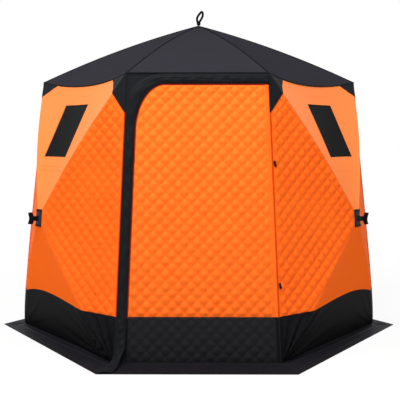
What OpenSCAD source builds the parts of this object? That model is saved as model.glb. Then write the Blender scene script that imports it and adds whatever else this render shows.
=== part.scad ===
// Six-sided pop-up ice fishing hut, in millimetres.
// Quilted and plain fabric panels are stretched over bowed rods that meet in hubs.
// +Z is up, the origin is on the ground under the peak, and the door faces -Y.

/* [Plan at the ground] */
// Width from side corner to side corner
hut_w = 2390; // [2000:10:2900]
// Depth from the door wall to the back wall
hut_d = 2076; // [1740:4:2500]
// Width of the door wall
door_wall_w = 956; // [860:2:1150]

/* [Eaves and peak] */
// Height of the eave corners
eave_h = 1670; // [1500:5:1950]
// Height of the roof's peak
peak_h = 2050; // [1950:5:2400]
// How far the side corners lean in between the ground and the eaves
side_lean = 144; // [60:1:220]
// How far the door wall and the back wall lean in
end_lean = 159; // [60:1:220]
// How far each corner of the door wall leans in towards the door
door_lean = 67; // [20:1:90]
// How far the roof's rods bow up over a straight line
roof_rise = 27; // [10:1:45]
// How far the side walls' eaves hang down between their corners
eave_dip = 48; // [10:1:70]
// How far the side walls' eaves are drawn in between their corners
eave_pull = 25; // [5:1:60]

/* [Side walls] */
// How far a side wall's hub is pushed out of the wall's flat face
hub_bulge = 251; // [150:1:320]
// Height of the side walls' hubs
hub_h = 800; // [650:5:950]
// Height of the black band at the foot of every wall
base_h = 270; // [150:5:400]
// Width of a window
window_w = 278; // [150:2:320]
// Height of a window
window_h = 317; // [200:1:340]
// Height from the top of a window to the eave corners
window_drop = 172; // [150:2:200]
// How far a window leans sideways towards the hut's side corner over its height
window_skew = 75; // [0:5:100]

/* [Door] */
// Width of the storm flap beside the door
flap_w = 62; // [50:1:90]
// Height of the band above the door
head_w = 64; // [55:1:100]
// Width of the door's rounded corner
corner_rx = 176; // [100:1:220]
// Height of the door's rounded corner
corner_ry = 290; // [150:1:340]
// Gap between the door and its opening
door_gap = 5; // [5:0.5:8]
// Distance from the right corner to the line the door swings on
hinge_inset = 14; // [13:0.5:20]

/* [Skirt on the snow] */
// How far the skirt reaches out from the side corners
skirt_side = 152; // [80:1:260]
// How far the skirt reaches out from the door wall and the back wall
skirt_end = 207; // [100:1:300]
// How much further the skirt's front edge runs past each corner of the door wall
skirt_spread = 77; // [40:1:140]
// Thickness of the skirt
skirt_t = 4; // [2:0.5:6]

/* [Fabric and rods] */
// Thickness of the padded fabric
fabric_t = 8; // [7:0.5:12]
// Radius of the rods
rod_r = 5.5; // [4.5:0.1:7]
// Radius of the ball sockets in the corners
socket_r = 18; // [17:0.5:20]
// Radius of the hubs
hub_r = 34; // [32:1:38]
// Share of a panel's length that the patch over a hub takes
patch_share = 0.064; // [0.05:0.002:0.08]
// Height of the loop on the peak
loop_h = 100; // [60:1:120]

/* [Hidden] */

$fn = 48;
fit_gap = 0.3;              // gap between pieces that seat on each other
far = 6000;                 // longer than any cut

// Walls by their number: wall i runs from corner i to corner i + 1.
FRONT_RIGHT = 0;
BACK_RIGHT = 1;
BACK = 2;
BACK_LEFT = 3;
FRONT_LEFT = 4;
FRONT = 5;
HUB_WALLS = [FRONT_RIGHT, BACK_RIGHT, BACK_LEFT, FRONT_LEFT];
CORNERS = [0:5];

eave_cells = 6;             // straight stretches along a curved eave
slope_cells = 6;            // straight stretches down the bowed roof
base_z = skirt_t;           // the walls stand on the skirt
skirt_hem = 52;             // how far the skirt reaches in under the walls
skirt_cut = 0.6;            // gap between the skirt's strips at the corners

quilt_colour = [0.98, 0.41, 0.10];
plain_colour = [1.00, 0.58, 0.30];
lower_colour = [0.90, 0.38, 0.10];
black_colour = [0.11, 0.11, 0.12];
roof_colour = [0.22, 0.22, 0.24];
rod_colour = [0.35, 0.36, 0.38];
pane_colour = [0.14, 0.14, 0.14];

// ---- plain geometry ----
function unit(v) = v / norm(v);
function mix(a, b, t) = a + (b - a) * t;
function flat(p) = [p.x, p.y];
function lift(p, z) = [p.x, p.y, z];
function next(i) = (i + 1) % 6;
function last(i) = (i + 5) % 6;
// the six corners of a plan, anticlockwise from the front right
function plan(w, d, f) = [[f / 2, -d / 2], [w / 2, 0], [f / 2, d / 2],
    [-f / 2, d / 2], [-w / 2, 0], [-f / 2, -d / 2]];
// outward direction of the plan's side i
function side_out(p, i) = let (u = unit(p[next(i)] - p[i])) [u.y, -u.x];
// outward step at corner i that moves both its sides by 1
function mitre(p, i) = let (a = side_out(p, last(i)), b = side_out(p, i)) (a + b) / (1 + a * b);
function grow(p, d) = [for (i = CORNERS) p[i] + d * mitre(p, i)];

eave_w = hut_w - 2 * side_lean;
eave_d = hut_d - 2 * end_lean;
eave_door_w = door_wall_w - 2 * door_lean;
foot_plan = plan(hut_w, hut_d, door_wall_w);
eave_plan = plan(eave_w, eave_d, eave_door_w);
skirt_plan = plan(hut_w + 2 * skirt_side, hut_d + 2 * skirt_end, door_wall_w + 2 * skirt_spread);
foot_plan_in = grow(foot_plan, -fabric_t);
eave_plan_in = grow(eave_plan, -fabric_t);

roof_slope = (peak_h - eave_h) / (eave_d / 2);
roof_upright_t = fabric_t * sqrt(1 + roof_slope * roof_slope);  // roof's thickness straight down
eave_in_h = eave_h + roof_slope * fabric_t - roof_upright_t;

// ---- corners of the shell: side 0 is the outer face, side 1 the inner face ----
function foot(i, side) = lift(side == 0 ? foot_plan[i] : foot_plan_in[i], base_z);
function eave(i, side) = side == 0 ? lift(eave_plan[i], eave_h) : lift(eave_plan_in[i], eave_in_h);
function peak(side) = [0, 0, side == 0 ? peak_h : peak_h - roof_upright_t];
function wall_out(w) = lift(side_out(foot_plan, w), 0);
function hub(w, side) =
    let (t = hub_h / eave_h,
         middle = mix((foot_plan[w] + foot_plan[next(w)]) / 2, (eave_plan[w] + eave_plan[next(w)]) / 2, t))
    lift(middle, hub_h) + wall_out(w) * (hub_bulge - side * fabric_t);
function at_height(a, b, z) = mix(a, b, (z - a.z) / (b.z - a.z));
// the corner post and the seams that run from the feet to the hub, at a height
function post(i, z, side) = at_height(foot(i, side), eave(i, side), z);
function seam(i, w, z, side) = at_height(foot(i, side), hub(w, side), z);
function patch_corner(w, p, side) = mix(hub(w, side), p, patch_share);

// the hip rod's line over corner i, from the peak at t = 0 to the eave at t = 1
function hip(i, t, side) = mix(peak(side), eave(i, side), t) + [0, 0, 4 * roof_rise * t * (1 - t)];
crown_share = 0.055;        // share of a hip that the crown patch takes
function is_hub_wall(w) = w != FRONT && w != BACK;
// a point of roof panel w: t down the slope, s along the eave
function roof_point(w, t, s, side) =
    let (hang = 4 * s * (1 - s) * pow((t - crown_share) / (1 - crown_share), 2),
         drawn = is_hub_wall(w) ? hang : 0)
    mix(hip(w, t, side), hip(next(w), t, side), s)
        - [0, 0, eave_dip * drawn] - wall_out(w) * (eave_pull * drawn);
function eave_line(w, side) = [for (k = [0:eave_cells]) roof_point(w, 1, k / eave_cells, side)];

// ---- solids between an outer and an inner face ----
same = 0.001;
function before(p, q) =
    abs(p.z - q.z) > same ? p.z < q.z : (abs(p.x - q.x) > same ? p.x < q.x : p.y < q.y);
// two triangles of the rim between outer points a, b and the inner points under them.
// The cut runs the same way from both sides of a shared edge, so neighbours fit face to face.
function rim(pts, a, b, n) = before(pts[a], pts[b])
    ? [[a, b, b + n], [a, b + n, a + n]]
    : [[a, b, a + n], [b, b + n, a + n]];

// a flat panel: outer corners anticlockwise seen from outside, and the inner corners behind them
module slab(outer, inner) {
    n = len(outer);
    pts = concat(outer, inner);
    faces = concat(
        [for (k = [1:n - 2]) [0, k + 1, k]],
        [for (k = [1:n - 2]) [n, n + k, n + k + 1]],
        [for (k = [0:n - 1]) for (t = rim(pts, k, (k + 1) % n, n)) t]);
    polyhedron(pts, faces, convexity = 4);
}

// a curved panel from two grids of points: rows run down, columns to the right seen from outside
module sheet(outer, inner) {
    rows = len(outer);
    cols = len(outer[0]);
    n = rows * cols;
    pts = concat([for (r = outer) for (p = r) p], [for (r = inner) for (p = r) p]);
    function at(r, c) = r * cols + c;
    faces = concat(
        [for (r = [0:rows - 2]) for (c = [0:cols - 2])
            for (t = [[at(r, c), at(r, c + 1), at(r + 1, c + 1)], [at(r, c), at(r + 1, c + 1), at(r + 1, c)]]) t],
        [for (r = [0:rows - 2]) for (c = [0:cols - 2])
            for (t = [[at(r, c) + n, at(r + 1, c + 1) + n, at(r, c + 1) + n],
                      [at(r, c) + n, at(r + 1, c) + n, at(r + 1, c + 1) + n]]) t],
        [for (c = [0:cols - 2]) for (t = rim(pts, at(0, c + 1), at(0, c), n)) t],
        [for (c = [0:cols - 2]) for (t = rim(pts, at(rows - 1, c), at(rows - 1, c + 1), n)) t],
        [for (r = [0:rows - 2]) for (t = rim(pts, at(r, 0), at(r + 1, 0), n)) t],
        [for (r = [0:rows - 2]) for (t = rim(pts, at(r + 1, cols - 1), at(r, cols - 1), n)) t]);
    polyhedron(pts, faces, convexity = 6);
}

// a straight rod between two points
module rod(p, q, r) {
    d = q - p;
    translate(p) rotate([0, acos(d.z / norm(d)), atan2(d.y, d.x)]) cylinder(h = norm(d), r = r);
}

// a rod that bows up between two points, cut short by trim at its far end
module bowed_rod(p, q, rise, r, start_trim, end_trim) {
    d = q - p;
    bow_r = (d * d / 4 + rise * rise) / (2 * rise);
    half = asin(norm(d) / 2 / bow_r);
    per_mm = 180 / (PI * bow_r);
    translate((p + q) / 2) rotate([0, atan2(-d.z, norm(flat(d))), atan2(d.y, d.x)])
        translate([0, 0, rise - bow_r]) rotate([90, 0, 0]) rotate([0, 0, 90 - half + end_trim * per_mm])
            rotate_extrude(angle = 2 * half - (start_trim + end_trim) * per_mm)
                translate([bow_r, 0]) circle(r = r);
}

// children stand with their z axis along the outward direction of wall w, at point p
module facing(w, p) {
    n = wall_out(w);
    translate(p) rotate([0, 90, atan2(n.y, n.x)]) children();
}

// ---- skirt ----
module snow_skirt() {
    inner = grow(foot_plan, -skirt_hem);
    color(black_colour)
        for (w = CORNERS) {
            u = unit(skirt_plan[next(w)] - skirt_plan[w]) * skirt_cut / 2;
            linear_extrude(skirt_t)
                polygon([skirt_plan[w] + u, skirt_plan[next(w)] - u, inner[next(w)] - u, inner[w] + u]);
        }
}

// ---- side walls: a hub in the middle pushes four triangles outwards ----
// triangle under the eave between two depths in the fabric: 0 is its outer face, 1 its inner face
module window_panel_body(w, from, to) {
    function line(depth) = mix(eave_line(w, 0), eave_line(w, 1), depth);
    function tips(depth) = let (a = [for (p = eave_line(w, 0)) patch_corner(w, p, 0)],
        b = [for (p = eave_line(w, 1)) patch_corner(w, p, 1)]) mix(a, b, depth);
    sheet([line(from), tips(from)], [line(to), tips(to)]);
}

// prism along wall w's outward direction through its window, drawn in by shrink on every side
module window_opening(w, shrink) {
    a = eave(w, 0);
    b = eave(next(w), 0);
    along = unit(b - a);
    middle = (a + b) / 2;
    side = w == FRONT_RIGHT || w == BACK_LEFT ? 1 : -1;     // the way to the hut's side corner
    half = window_w / 2 - shrink;
    low = -window_drop - window_h + shrink;
    high = -window_drop - shrink;
    slant = side * window_skew * (1 - 2 * shrink / window_h) / 2;
    out = wall_out(w);
    shift = -window_shift * side;
    multmatrix([[along.x, 0, out.x, middle.x], [along.y, 0, out.y, middle.y], [0, 1, 0, middle.z], [0, 0, 0, 1]])
        linear_extrude(500)
            polygon([[shift - half + slant, low], [shift + half + slant, low],
                [shift + half - slant, high], [shift - half - slant, high]]);
}
window_shift = 10;          // windows sit this far towards the flat walls
pane_share = 0.4;           // thickness of a pane as a share of the fabric's

module window_panel(w) {
    color(plain_colour) difference() {
        window_panel_body(w, 0, 1);
        window_opening(w, 0);
    }
}

// dark clear sheets welded into the windows
module window_panes() {
    color(pane_colour) for (w = HUB_WALLS)
        intersection() {
            window_panel_body(w, 0.5 - pane_share / 2, 0.5 + pane_share / 2);
            window_opening(w, fit_gap);
        }
}

// outline of the quilted triangle beside corner i, above the base band, seen from outside
function quilted(w, i, side) =
    let (ring = [post(i, base_h, side), seam(i, w, base_h, side),
                 patch_corner(w, foot(i, side), side), patch_corner(w, eave(i, side), side), eave(i, side)])
    i == w ? ring : [for (k = [4:-1:0]) ring[k]];

module quilted_sides(w) {
    color(quilt_colour) for (i = [w, next(w)]) slab(quilted(w, i, 0), quilted(w, i, 1));
}

module lower_panel(w) {
    function ring(side) = [seam(w, w, base_h, side), seam(next(w), w, base_h, side),
        patch_corner(w, foot(next(w), side), side), patch_corner(w, foot(w, side), side)];
    color(lower_colour) slab(ring(0), ring(1));
}

module base_band(w) {
    function part_a(side) = [foot(w, side), seam(w, w, base_h, side), post(w, base_h, side)];
    function part_b(side) = [foot(w, side), foot(next(w), side),
        seam(next(w), w, base_h, side), seam(w, w, base_h, side)];
    function part_c(side) = [foot(next(w), side), post(next(w), base_h, side), seam(next(w), w, base_h, side)];
    color(black_colour) union() {
        slab(part_a(0), part_a(1));
        slab(part_b(0), part_b(1));
        slab(part_c(0), part_c(1));
    }
}

// pyramid-shaped patch that closes the middle of a side wall
module hub_patches() {
    color(black_colour) for (w = HUB_WALLS)
        difference() {
            hub_patch(w);
            facing(w, hub(w, 0)) translate([0, 0, -stud_reach]) cylinder(h = 2 * stud_reach, r = stud_r + fit_gap);
        }
}
stud_r = 6;
stud_reach = 40;

module hub_patch(w) {
    function ring(side) = concat(
        [patch_corner(w, foot(w, side), side), patch_corner(w, foot(next(w), side), side)],
        [for (k = [eave_cells:-1:0]) patch_corner(w, roof_point(w, 1, k / eave_cells, side), side)]);
    n = len(ring(0));
    // the tip of the outer face comes first, then its ring, then the same for the inner face
    pts = concat(ring(0), [hub(w, 0)], ring(1), [hub(w, 1)]);
    m = n + 1;
    faces = concat(
        [for (k = [0:n - 1]) [n, (k + 1) % n, k]],
        [for (k = [0:n - 1]) [n + m, k + m, (k + 1) % n + m]],
        [for (k = [0:n - 1]) for (t = rim(pts, k, (k + 1) % n, m)) t]);
    polyhedron(pts, faces, convexity = 4);
}

// ---- rods, hubs and sockets ----
hub_back = 18;              // how far a hub's front face lies behind the tip of its patch
hub_front = 8;              // hub face to the point where its rods meet
hub_t = 30;                 // thickness of a hub
rod_start = 21;             // rods start this far from the middle of a hub
rod_end = 11;               // and stop this far short of a socket's centre
socket_clear = 6;           // gap between a socket and the walls
function hub_centre(w) = hub(w, 1) - wall_out(w) * (hub_back + hub_front);
function eave_socket(i) = lift(grow(eave_plan, -(fabric_t + socket_r + socket_clear))[i],
    eave_in_h - socket_r + 2);
function foot_socket(i) = lift(grow(foot_plan, -(fabric_t + socket_r + socket_clear))[i],
    base_z + socket_r + fit_gap);

// the rod of wall w to a socket at q
module wall_rod(w, q, grown) {
    p = hub_centre(w);
    u = unit(q - p);
    rod(p + u * (rod_start - grown), q - u * (rod_end - grown), rod_r + grown);
}

module wall_rods(w) {
    color(rod_colour) for (i = [w, next(w)]) {
        wall_rod(w, eave_socket(i), 0);
        wall_rod(w, foot_socket(i), 0);
    }
}

module wall_hubs() {
    color(black_colour) for (w = HUB_WALLS)
        difference() {
            facing(w, hub_centre(w)) {
                translate([0, 0, hub_front - hub_t]) cylinder(h = hub_t, r = hub_r);
                cylinder(h = hub_front + hub_back + fabric_t + tab_root, r = stud_r);
            }
            for (i = [w, next(w)]) {
                wall_rod(w, eave_socket(i), fit_gap);
                wall_rod(w, foot_socket(i), fit_gap);
            }
        }
}

// webbing tab on the hub's stud, pulled to set the wall up
tab_root = 7;               // how far the stud stands out of the patch
tab_l = 62;
tab_t = 5;
tab_narrow = 22;
tab_wide = 64;
module pull_tabs() {
    color(black_colour) for (w = HUB_WALLS)
        facing(w, hub(w, 0) + wall_out(w) * (tab_root + fit_gap))
            rotate([90, 0, 0]) linear_extrude(tab_t, center = true)
                polygon([[-tab_narrow / 2, 0], [tab_narrow / 2, 0], [tab_narrow / 2, tab_l / 4],
                    [tab_wide / 2, tab_l], [-tab_wide / 2, tab_l], [-tab_narrow / 2, tab_l / 4]]);
}

crown_r = 42;               // radius of the roof's hub
crown_hub_t = 34;
crown_hub_top = peak_h - roof_upright_t - 16;
crown_rods_z = crown_hub_top - 15;
roof_rod_rise = roof_rise + 5;
crown_start = 26;
module roof_rod(i, grown) {
    bowed_rod([0, 0, crown_rods_z], eave_socket(i), roof_rod_rise, rod_r + grown,
        crown_start - grown, rod_end - grown);
}

module roof_rods() {
    color(rod_colour) for (i = CORNERS) roof_rod(i, 0);
}

module roof_hub() {
    color(black_colour) difference() {
        union() {
            translate([0, 0, crown_hub_top - crown_hub_t]) cylinder(h = crown_hub_t, r = crown_r);
            translate([0, 0, crown_hub_top]) cylinder(h = peak_h + tab_root - crown_hub_top, r = stud_r);
        }
        for (i = CORNERS) roof_rod(i, fit_gap);
    }
}

// ball of the socket in corner i, centred on p
module ball(i, p) {
    out = mitre(foot_plan, i);
    translate(p) rotate(atan2(out.y, out.x)) sphere(r = socket_r);
}

module eave_sockets() {
    color(black_colour) for (i = CORNERS)
        difference() {
            ball(i, eave_socket(i));
            roof_rod(i, fit_gap);
            for (w = [last(i), i]) if (is_hub_wall(w)) wall_rod(w, eave_socket(i), fit_gap);
        }
}

module foot_sockets() {
    color(black_colour) for (i = CORNERS)
        difference() {
            ball(i, foot_socket(i));
            for (w = [last(i), i]) if (is_hub_wall(w)) wall_rod(w, foot_socket(i), fit_gap);
        }
}

// ---- roof ----
module roof_panel(w) {
    function grid(side) = [for (r = [0:slope_cells])
        [for (k = [eave_cells:-1:0])
            roof_point(w, mix(crown_share, 1, r / slope_cells), k / eave_cells, side)]];
    color(roof_colour) sheet(grid(0), grid(1));
}

module roof_crown() {
    function ring(side) = [for (i = CORNERS) hip(i, crown_share, side)];
    pts = concat(ring(0), [peak(0)], ring(1), [peak(1)]);
    faces = concat(
        [for (k = CORNERS) [6, next(k), k]],
        [for (k = CORNERS) [13, k + 7, next(k) + 7]],
        [for (k = CORNERS) for (t = rim(pts, k, next(k), 7)) t]);
    color(roof_colour) difference() {
        polyhedron(pts, faces, convexity = 4);
        translate([0, 0, peak_h - 30]) cylinder(h = 60, r = stud_r + fit_gap);
    }
}

// webbing loop on the peak: a leaning teardrop
loop_w = 44;
loop_t = 11;
loop_band = 9;
loop_lean = 16;
loop_rise = 1.9;            // the leaning loop stands on one edge
module peak_loop() {
    color(black_colour) translate([0, 0, peak_h + tab_root + fit_gap + loop_rise]) rotate([90, 0, 0])
        linear_extrude(loop_t, center = true) rotate([0, 0, -loop_lean]) difference() {
            loop_outline(0);
            loop_outline(loop_band);
        }
}
loop_points = [[-0.14, 0.00], [0.14, 0.00], [0.30, 0.26], [0.50, 0.56], [0.46, 0.82], [0.28, 1.00],
               [0.10, 0.97], [-0.22, 0.80], [-0.50, 0.52], [-0.42, 0.24]];
module loop_outline(inset) {
    middle = [0, loop_h * 0.52];
    shrink_x = (loop_w / 2 - inset) / (loop_w / 2);
    shrink_y = (loop_h / 2 - inset * 1.3) / (loop_h / 2);
    polygon([for (p = loop_points) let (q = [p.x * loop_w, p.y * loop_h] - middle)
        [q.x * shrink_x, q.y * shrink_y] + middle]);
}

// ---- gussets sewn over the side walls' eave corners ----
gusset_t = 1.8;
gusset_seam = 160;          // length along the seam to the hub
gusset_post = 228;          // length down the corner post
// gusset on wall w at corner i: one half lies under the eave and one beside the corner post
module gusset(w, i) {
    first = i == w;
    corner = eave(i, 0);
    on_eave = roof_point(w, 1, first ? 1 / eave_cells : 1 - 1 / eave_cells, 0);
    on_seam = corner + unit(hub(w, 0) - corner) * gusset_seam;
    on_post = post(i, eave_h - gusset_post, 0);
    over = lift(mitre(eave_plan, i), 0);
    out = lift(side_out(eave_plan, w), 0);
    function raised(h) = [corner + over * h, on_eave + out * h, on_seam + out * h, on_post + over * h];
    function ring(h) = let (r = raised(h)) first ? [r[2], r[1], r[0], r[3]] : [r[2], r[3], r[0], r[1]];
    slab(ring(fit_gap + gusset_t), ring(fit_gap));
}
module corner_gussets() {
    color(black_colour) for (w = HUB_WALLS) for (i = [w, next(w)]) gusset(w, i);
}

// ---- flat walls: the door wall and the back wall ----
// outline of flat wall w between two heights, seen from outside
module flat_wall(w) {
    function ring(side) = [foot(w, side), foot(next(w), side), post(next(w), base_h, side),
        eave(next(w), side), eave(w, side), post(w, base_h, side)];
    slab(ring(0), ring(1));
}

module between(low, high) {
    translate([-far / 2, -far / 2, low]) cube([far, far, high - low]);
}

head_z = eave_h - head_w;
module back_wall_base() {
    color(black_colour) intersection() {
        flat_wall(BACK);
        between(0, base_h);
    }
}
module back_wall_panel() {
    color(quilt_colour) intersection() {
        flat_wall(BACK);
        between(base_h, head_z);
    }
}
module back_wall_head() {
    color(black_colour) intersection() {
        flat_wall(BACK);
        between(head_z, far);
    }
}

// ---- door wall: x to the right and y up the leaning wall, z = 0 on its outer face ----
lean = atan((hut_d - eave_d) / 2 / (eave_h - base_z));
slope_l = norm([eave_h - base_z, (hut_d - eave_d) / 2]);
post_taper = (door_wall_w - eave_door_w) / 2 / slope_l;
module on_door_wall() {
    translate([0, -hut_d / 2, base_z]) rotate([90 - lean, 0, 0]) children();
}
function post_x(y) = door_wall_w / 2 - y * post_taper;
opening_top = slope_l - head_w;
base_y = (base_h - base_z) / cos(lean);

// outline of the opening, drawn in by gap on the zipped sides and running from y = low
curve_steps = 14;
function opening(gap, low, right) =
    let (top = opening_top - gap,
         rx = corner_rx - gap,
         ry = corner_ry - gap,
         left = function (y) -post_x(y) + flap_w + gap,
         centre = [left(top - ry) + rx, top - ry])
    concat([[left(low), low], [right(low), low], [right(top), top]],
        [for (k = [0:curve_steps]) let (a = 90 + 90 * k / curve_steps)
            centre + [rx * cos(a), ry * sin(a)]]);

beyond = function (y) far / 2;
hinge_x = function (y) post_x(y) - hinge_inset;
hinge_z = -fabric_t / 2;

module door_wall_part(low, high) {
    intersection() {
        flat_wall(FRONT);
        on_door_wall() translate([0, 0, -far / 4]) linear_extrude(far / 2) difference() {
            translate([-far / 2, low]) square([far, high - low]);
            polygon(opening(0, -20, beyond));
        }
    }
}

// strip of wall beside the door, on the zipped side
jamb_top = opening_top - corner_ry;
module door_jamb() {
    color(black_colour) door_wall_part(-far / 2, jamb_top);
}

// wall above the door, with the rounded corner
module door_head() {
    color(black_colour) difference() {
        door_wall_part(jamb_top, far / 2);
        hinge_line(opening_top - 20, opening_top + cord_hold + fit_gap, cord_r + fit_gap);
    }
}

// a cylinder on the line that the door swings on, between two heights up the wall
module hinge_line(low, high, r) {
    on_door_wall() rod([hinge_x(low), low, hinge_z], [hinge_x(high), high, hinge_z], r);
}

cord_r = 2;                 // cord that the door's hem turns on
cord_low = 0.9;             // clear of the skirt under it
cord_hold = 36;             // how far the cord reaches into the wall above the door
hem_r = 5;                  // hem sleeve round the cord
hem_gap = 0.3;
module door_cord() {
    color(black_colour) hinge_line(cord_low, opening_top + cord_hold, cord_r);
}

// band that covers the zip, sewn to the wall beside and above the door
flap_t = 3;
flap_rx = 228;              // width of the flap's rounded outer corner
flap_ry = 185;
flap_edge = 2;              // distance from the flap to the corner post and the eave
module storm_flap() {
    top = slope_l - 3;
    left = function (y) -post_x(y) + flap_edge;
    centre = [left(top - flap_ry) + flap_rx, top - flap_ry];
    color(black_colour) on_door_wall() translate([0, 0, fit_gap]) linear_extrude(flap_t) difference() {
        polygon(concat([[left(flap_edge), flap_edge], [-flap_w, flap_edge],
                [post_x(opening_top) - flap_edge, opening_top - 60], [post_x(top) - flap_edge, top]],
            [for (k = [0:curve_steps]) let (a = 90 + 90 * k / curve_steps)
                centre + [flap_rx * cos(a), flap_ry * sin(a)]]));
        polygon(opening(0, -20, beyond));
    }
    flap_tail();
}

// foot of the flap, laid out over the skirt's corner
tail_w = 60;
module flap_tail() {
    a = foot_plan[5];
    k = skirt_plan[5];
    out = k + (a - k) * 0.04;
    color(black_colour) translate([0, 0, skirt_t + fit_gap]) linear_extrude(flap_t)
        polygon([a + [4, -4], a + [flap_w, -4], mix(a, out, 0.2) + [flap_w * 0.8, 0],
            mix(a, out, 0.55) + [tail_w * 0.98, 0], out + [tail_w, 0], out]);
}

// the door leaf between two heights up the wall
leaf_low = 6;               // gap under the door
module door_leaf(low, high) {
    on_door_wall() translate([0, 0, -fabric_t]) linear_extrude(fabric_t) intersection() {
        polygon(opening(door_gap, leaf_low, function (y) hinge_x(y) - hem_r - fit_gap));
        translate([-far / 2, low]) square([far, high - low]);
    }
}
module door_panel() {
    color(quilt_colour) door_leaf(base_y, far / 2);
}
module door_base() {
    color(black_colour) door_leaf(0, base_y);
}

// sleeve along the door's edge that turns on the cord
module door_hem() {
    color(black_colour) difference() {
        hinge_line(leaf_low, opening_top - door_gap, hem_r);
        hinge_line(leaf_low - 20, opening_top + 20, cord_r + hem_gap);
    }
}

// toggles that hold the door when it is tied back
toggle_heights = [440, 1150];
toggle_l = 32;
toggle_r = 4;
module door_toggles() {
    w = FRONT_RIGHT;
    color(black_colour) for (h = toggle_heights) {
        p = post(0, h, 0);
        q = seam(0, w, min(h, hub_h - 100), 0);
        along = unit(hub(w, 0) - p);
        up = unit(eave(0, 0) - foot(0, 0));
        out = unit(cross(along, up));
        base = p + along * 18;
        translate(base + out * (fit_gap + toggle_r)) {
            rod(-up * toggle_l / 2 + out * 0, up * toggle_l / 2 + along * 9, toggle_r);
        }
    }
}

snow_skirt();
window_panel(FRONT_RIGHT);  // front_right_window_panel
quilted_sides(FRONT_RIGHT);  // front_right_quilted_sides
lower_panel(FRONT_RIGHT);  // front_right_lower_panel
base_band(FRONT_RIGHT);  // front_right_base_band
wall_rods(FRONT_RIGHT);  // front_right_rods
window_panel(BACK_RIGHT);  // back_right_window_panel
quilted_sides(BACK_RIGHT);  // back_right_quilted_sides
lower_panel(BACK_RIGHT);  // back_right_lower_panel
base_band(BACK_RIGHT);  // back_right_base_band
wall_rods(BACK_RIGHT);  // back_right_rods
window_panel(BACK_LEFT);  // back_left_window_panel
quilted_sides(BACK_LEFT);  // back_left_quilted_sides
lower_panel(BACK_LEFT);  // back_left_lower_panel
base_band(BACK_LEFT);  // back_left_base_band
wall_rods(BACK_LEFT);  // back_left_rods
window_panel(FRONT_LEFT);  // front_left_window_panel
quilted_sides(FRONT_LEFT);  // front_left_quilted_sides
lower_panel(FRONT_LEFT);  // front_left_lower_panel
base_band(FRONT_LEFT);  // front_left_base_band
wall_rods(FRONT_LEFT);  // front_left_rods
window_panes();
hub_patches();
wall_hubs();
pull_tabs();
corner_gussets();
back_wall_head();
back_wall_panel();
back_wall_base();
door_jamb();
door_head();
storm_flap();
door_cord();
door_toggles();
door_panel();
door_base();
door_hem();
roof_panel(FRONT);  // roof_panel_front
roof_panel(FRONT_RIGHT);  // roof_panel_front_right
roof_panel(BACK_RIGHT);  // roof_panel_back_right
roof_panel(BACK);  // roof_panel_back
roof_panel(BACK_LEFT);  // roof_panel_back_left
roof_panel(FRONT_LEFT);  // roof_panel_front_left
roof_crown();
roof_hub();
roof_rods();
peak_loop();
eave_sockets();
foot_sockets();
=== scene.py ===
import math

import bpy
import numpy as np
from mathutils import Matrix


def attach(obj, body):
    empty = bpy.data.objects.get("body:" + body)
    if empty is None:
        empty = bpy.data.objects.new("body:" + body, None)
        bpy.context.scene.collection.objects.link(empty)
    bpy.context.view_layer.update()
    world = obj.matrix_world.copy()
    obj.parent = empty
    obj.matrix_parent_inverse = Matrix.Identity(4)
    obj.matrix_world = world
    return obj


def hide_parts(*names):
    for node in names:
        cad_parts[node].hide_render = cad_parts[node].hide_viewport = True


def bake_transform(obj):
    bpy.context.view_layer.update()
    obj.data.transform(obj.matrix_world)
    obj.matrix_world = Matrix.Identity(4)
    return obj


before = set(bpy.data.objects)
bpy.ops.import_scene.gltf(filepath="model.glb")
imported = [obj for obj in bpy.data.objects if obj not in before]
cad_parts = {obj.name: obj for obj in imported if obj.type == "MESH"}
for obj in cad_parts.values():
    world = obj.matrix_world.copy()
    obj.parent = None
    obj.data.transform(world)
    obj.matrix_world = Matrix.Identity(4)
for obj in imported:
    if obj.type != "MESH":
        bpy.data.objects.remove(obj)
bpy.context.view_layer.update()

# %% [markdown]
# # A pop-up ice fishing hut
# The hut is a fabric shell. Four of its walls are each pulled out in the middle by a hub, and two walls are flat:
# the door wall in front and a plain one behind. Everything soft is made here as a curved sheet with a real
# thickness, over the frame that the CAD model fixes. The rods, hubs and sockets inside are the CAD's own solids.

# %% [markdown]
# ## Sizes and corners
# Every sheet hangs between the same few points, so they are worked out once: six corners on the ground, six at
# the eaves, the peak and four hubs. Sheets that share an edge read it from the same function, so that they meet.

# %% Sizes in metres
HUT_W, HUT_D, DOOR_WALL_W = 2.390, 2.076, 0.956
SIDE_LEAN, END_LEAN, DOOR_LEAN = 0.144, 0.159, 0.067
EAVE_H, PEAK_H, BASE_Z, BASE_H = 1.670, 2.050, 0.004, 0.270
HUB_H, HUB_BULGE, PATCH = 0.800, 0.251, 0.064
ROOF_RISE, EAVE_DIP, EAVE_PULL, CROWN = 0.027, 0.048, 0.025, 0.055
SKIRT_SIDE, SKIRT_END, SKIRT_SPREAD = 0.152, 0.207, 0.077
FABRIC = 0.008
FRONT_RIGHT, BACK_RIGHT, BACK, BACK_LEFT, FRONT_LEFT, FRONT = range(6)
WALL_NAMES = {FRONT_RIGHT: "front_right", BACK_RIGHT: "back_right", BACK: "back",
              BACK_LEFT: "back_left", FRONT_LEFT: "front_left", FRONT: "front"}
HUB_WALLS = (FRONT_RIGHT, BACK_RIGHT, BACK_LEFT, FRONT_LEFT)
SIDE_CORNERS = (1, 4)       # the corners furthest right and left


def corners(width, depth, front, height):
    """The six corners of a plan at one height, anticlockwise from the front right."""
    x = np.array([front, width, front, -front, -width, -front]) / 2
    y = np.array([-1, 0, 1, 1, 0, -1]) * depth / 2
    return np.stack([x, y, np.full(6, height)], axis=1)


def following(i):
    """The corner after corner i."""
    return (i + 1) % 6


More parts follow.
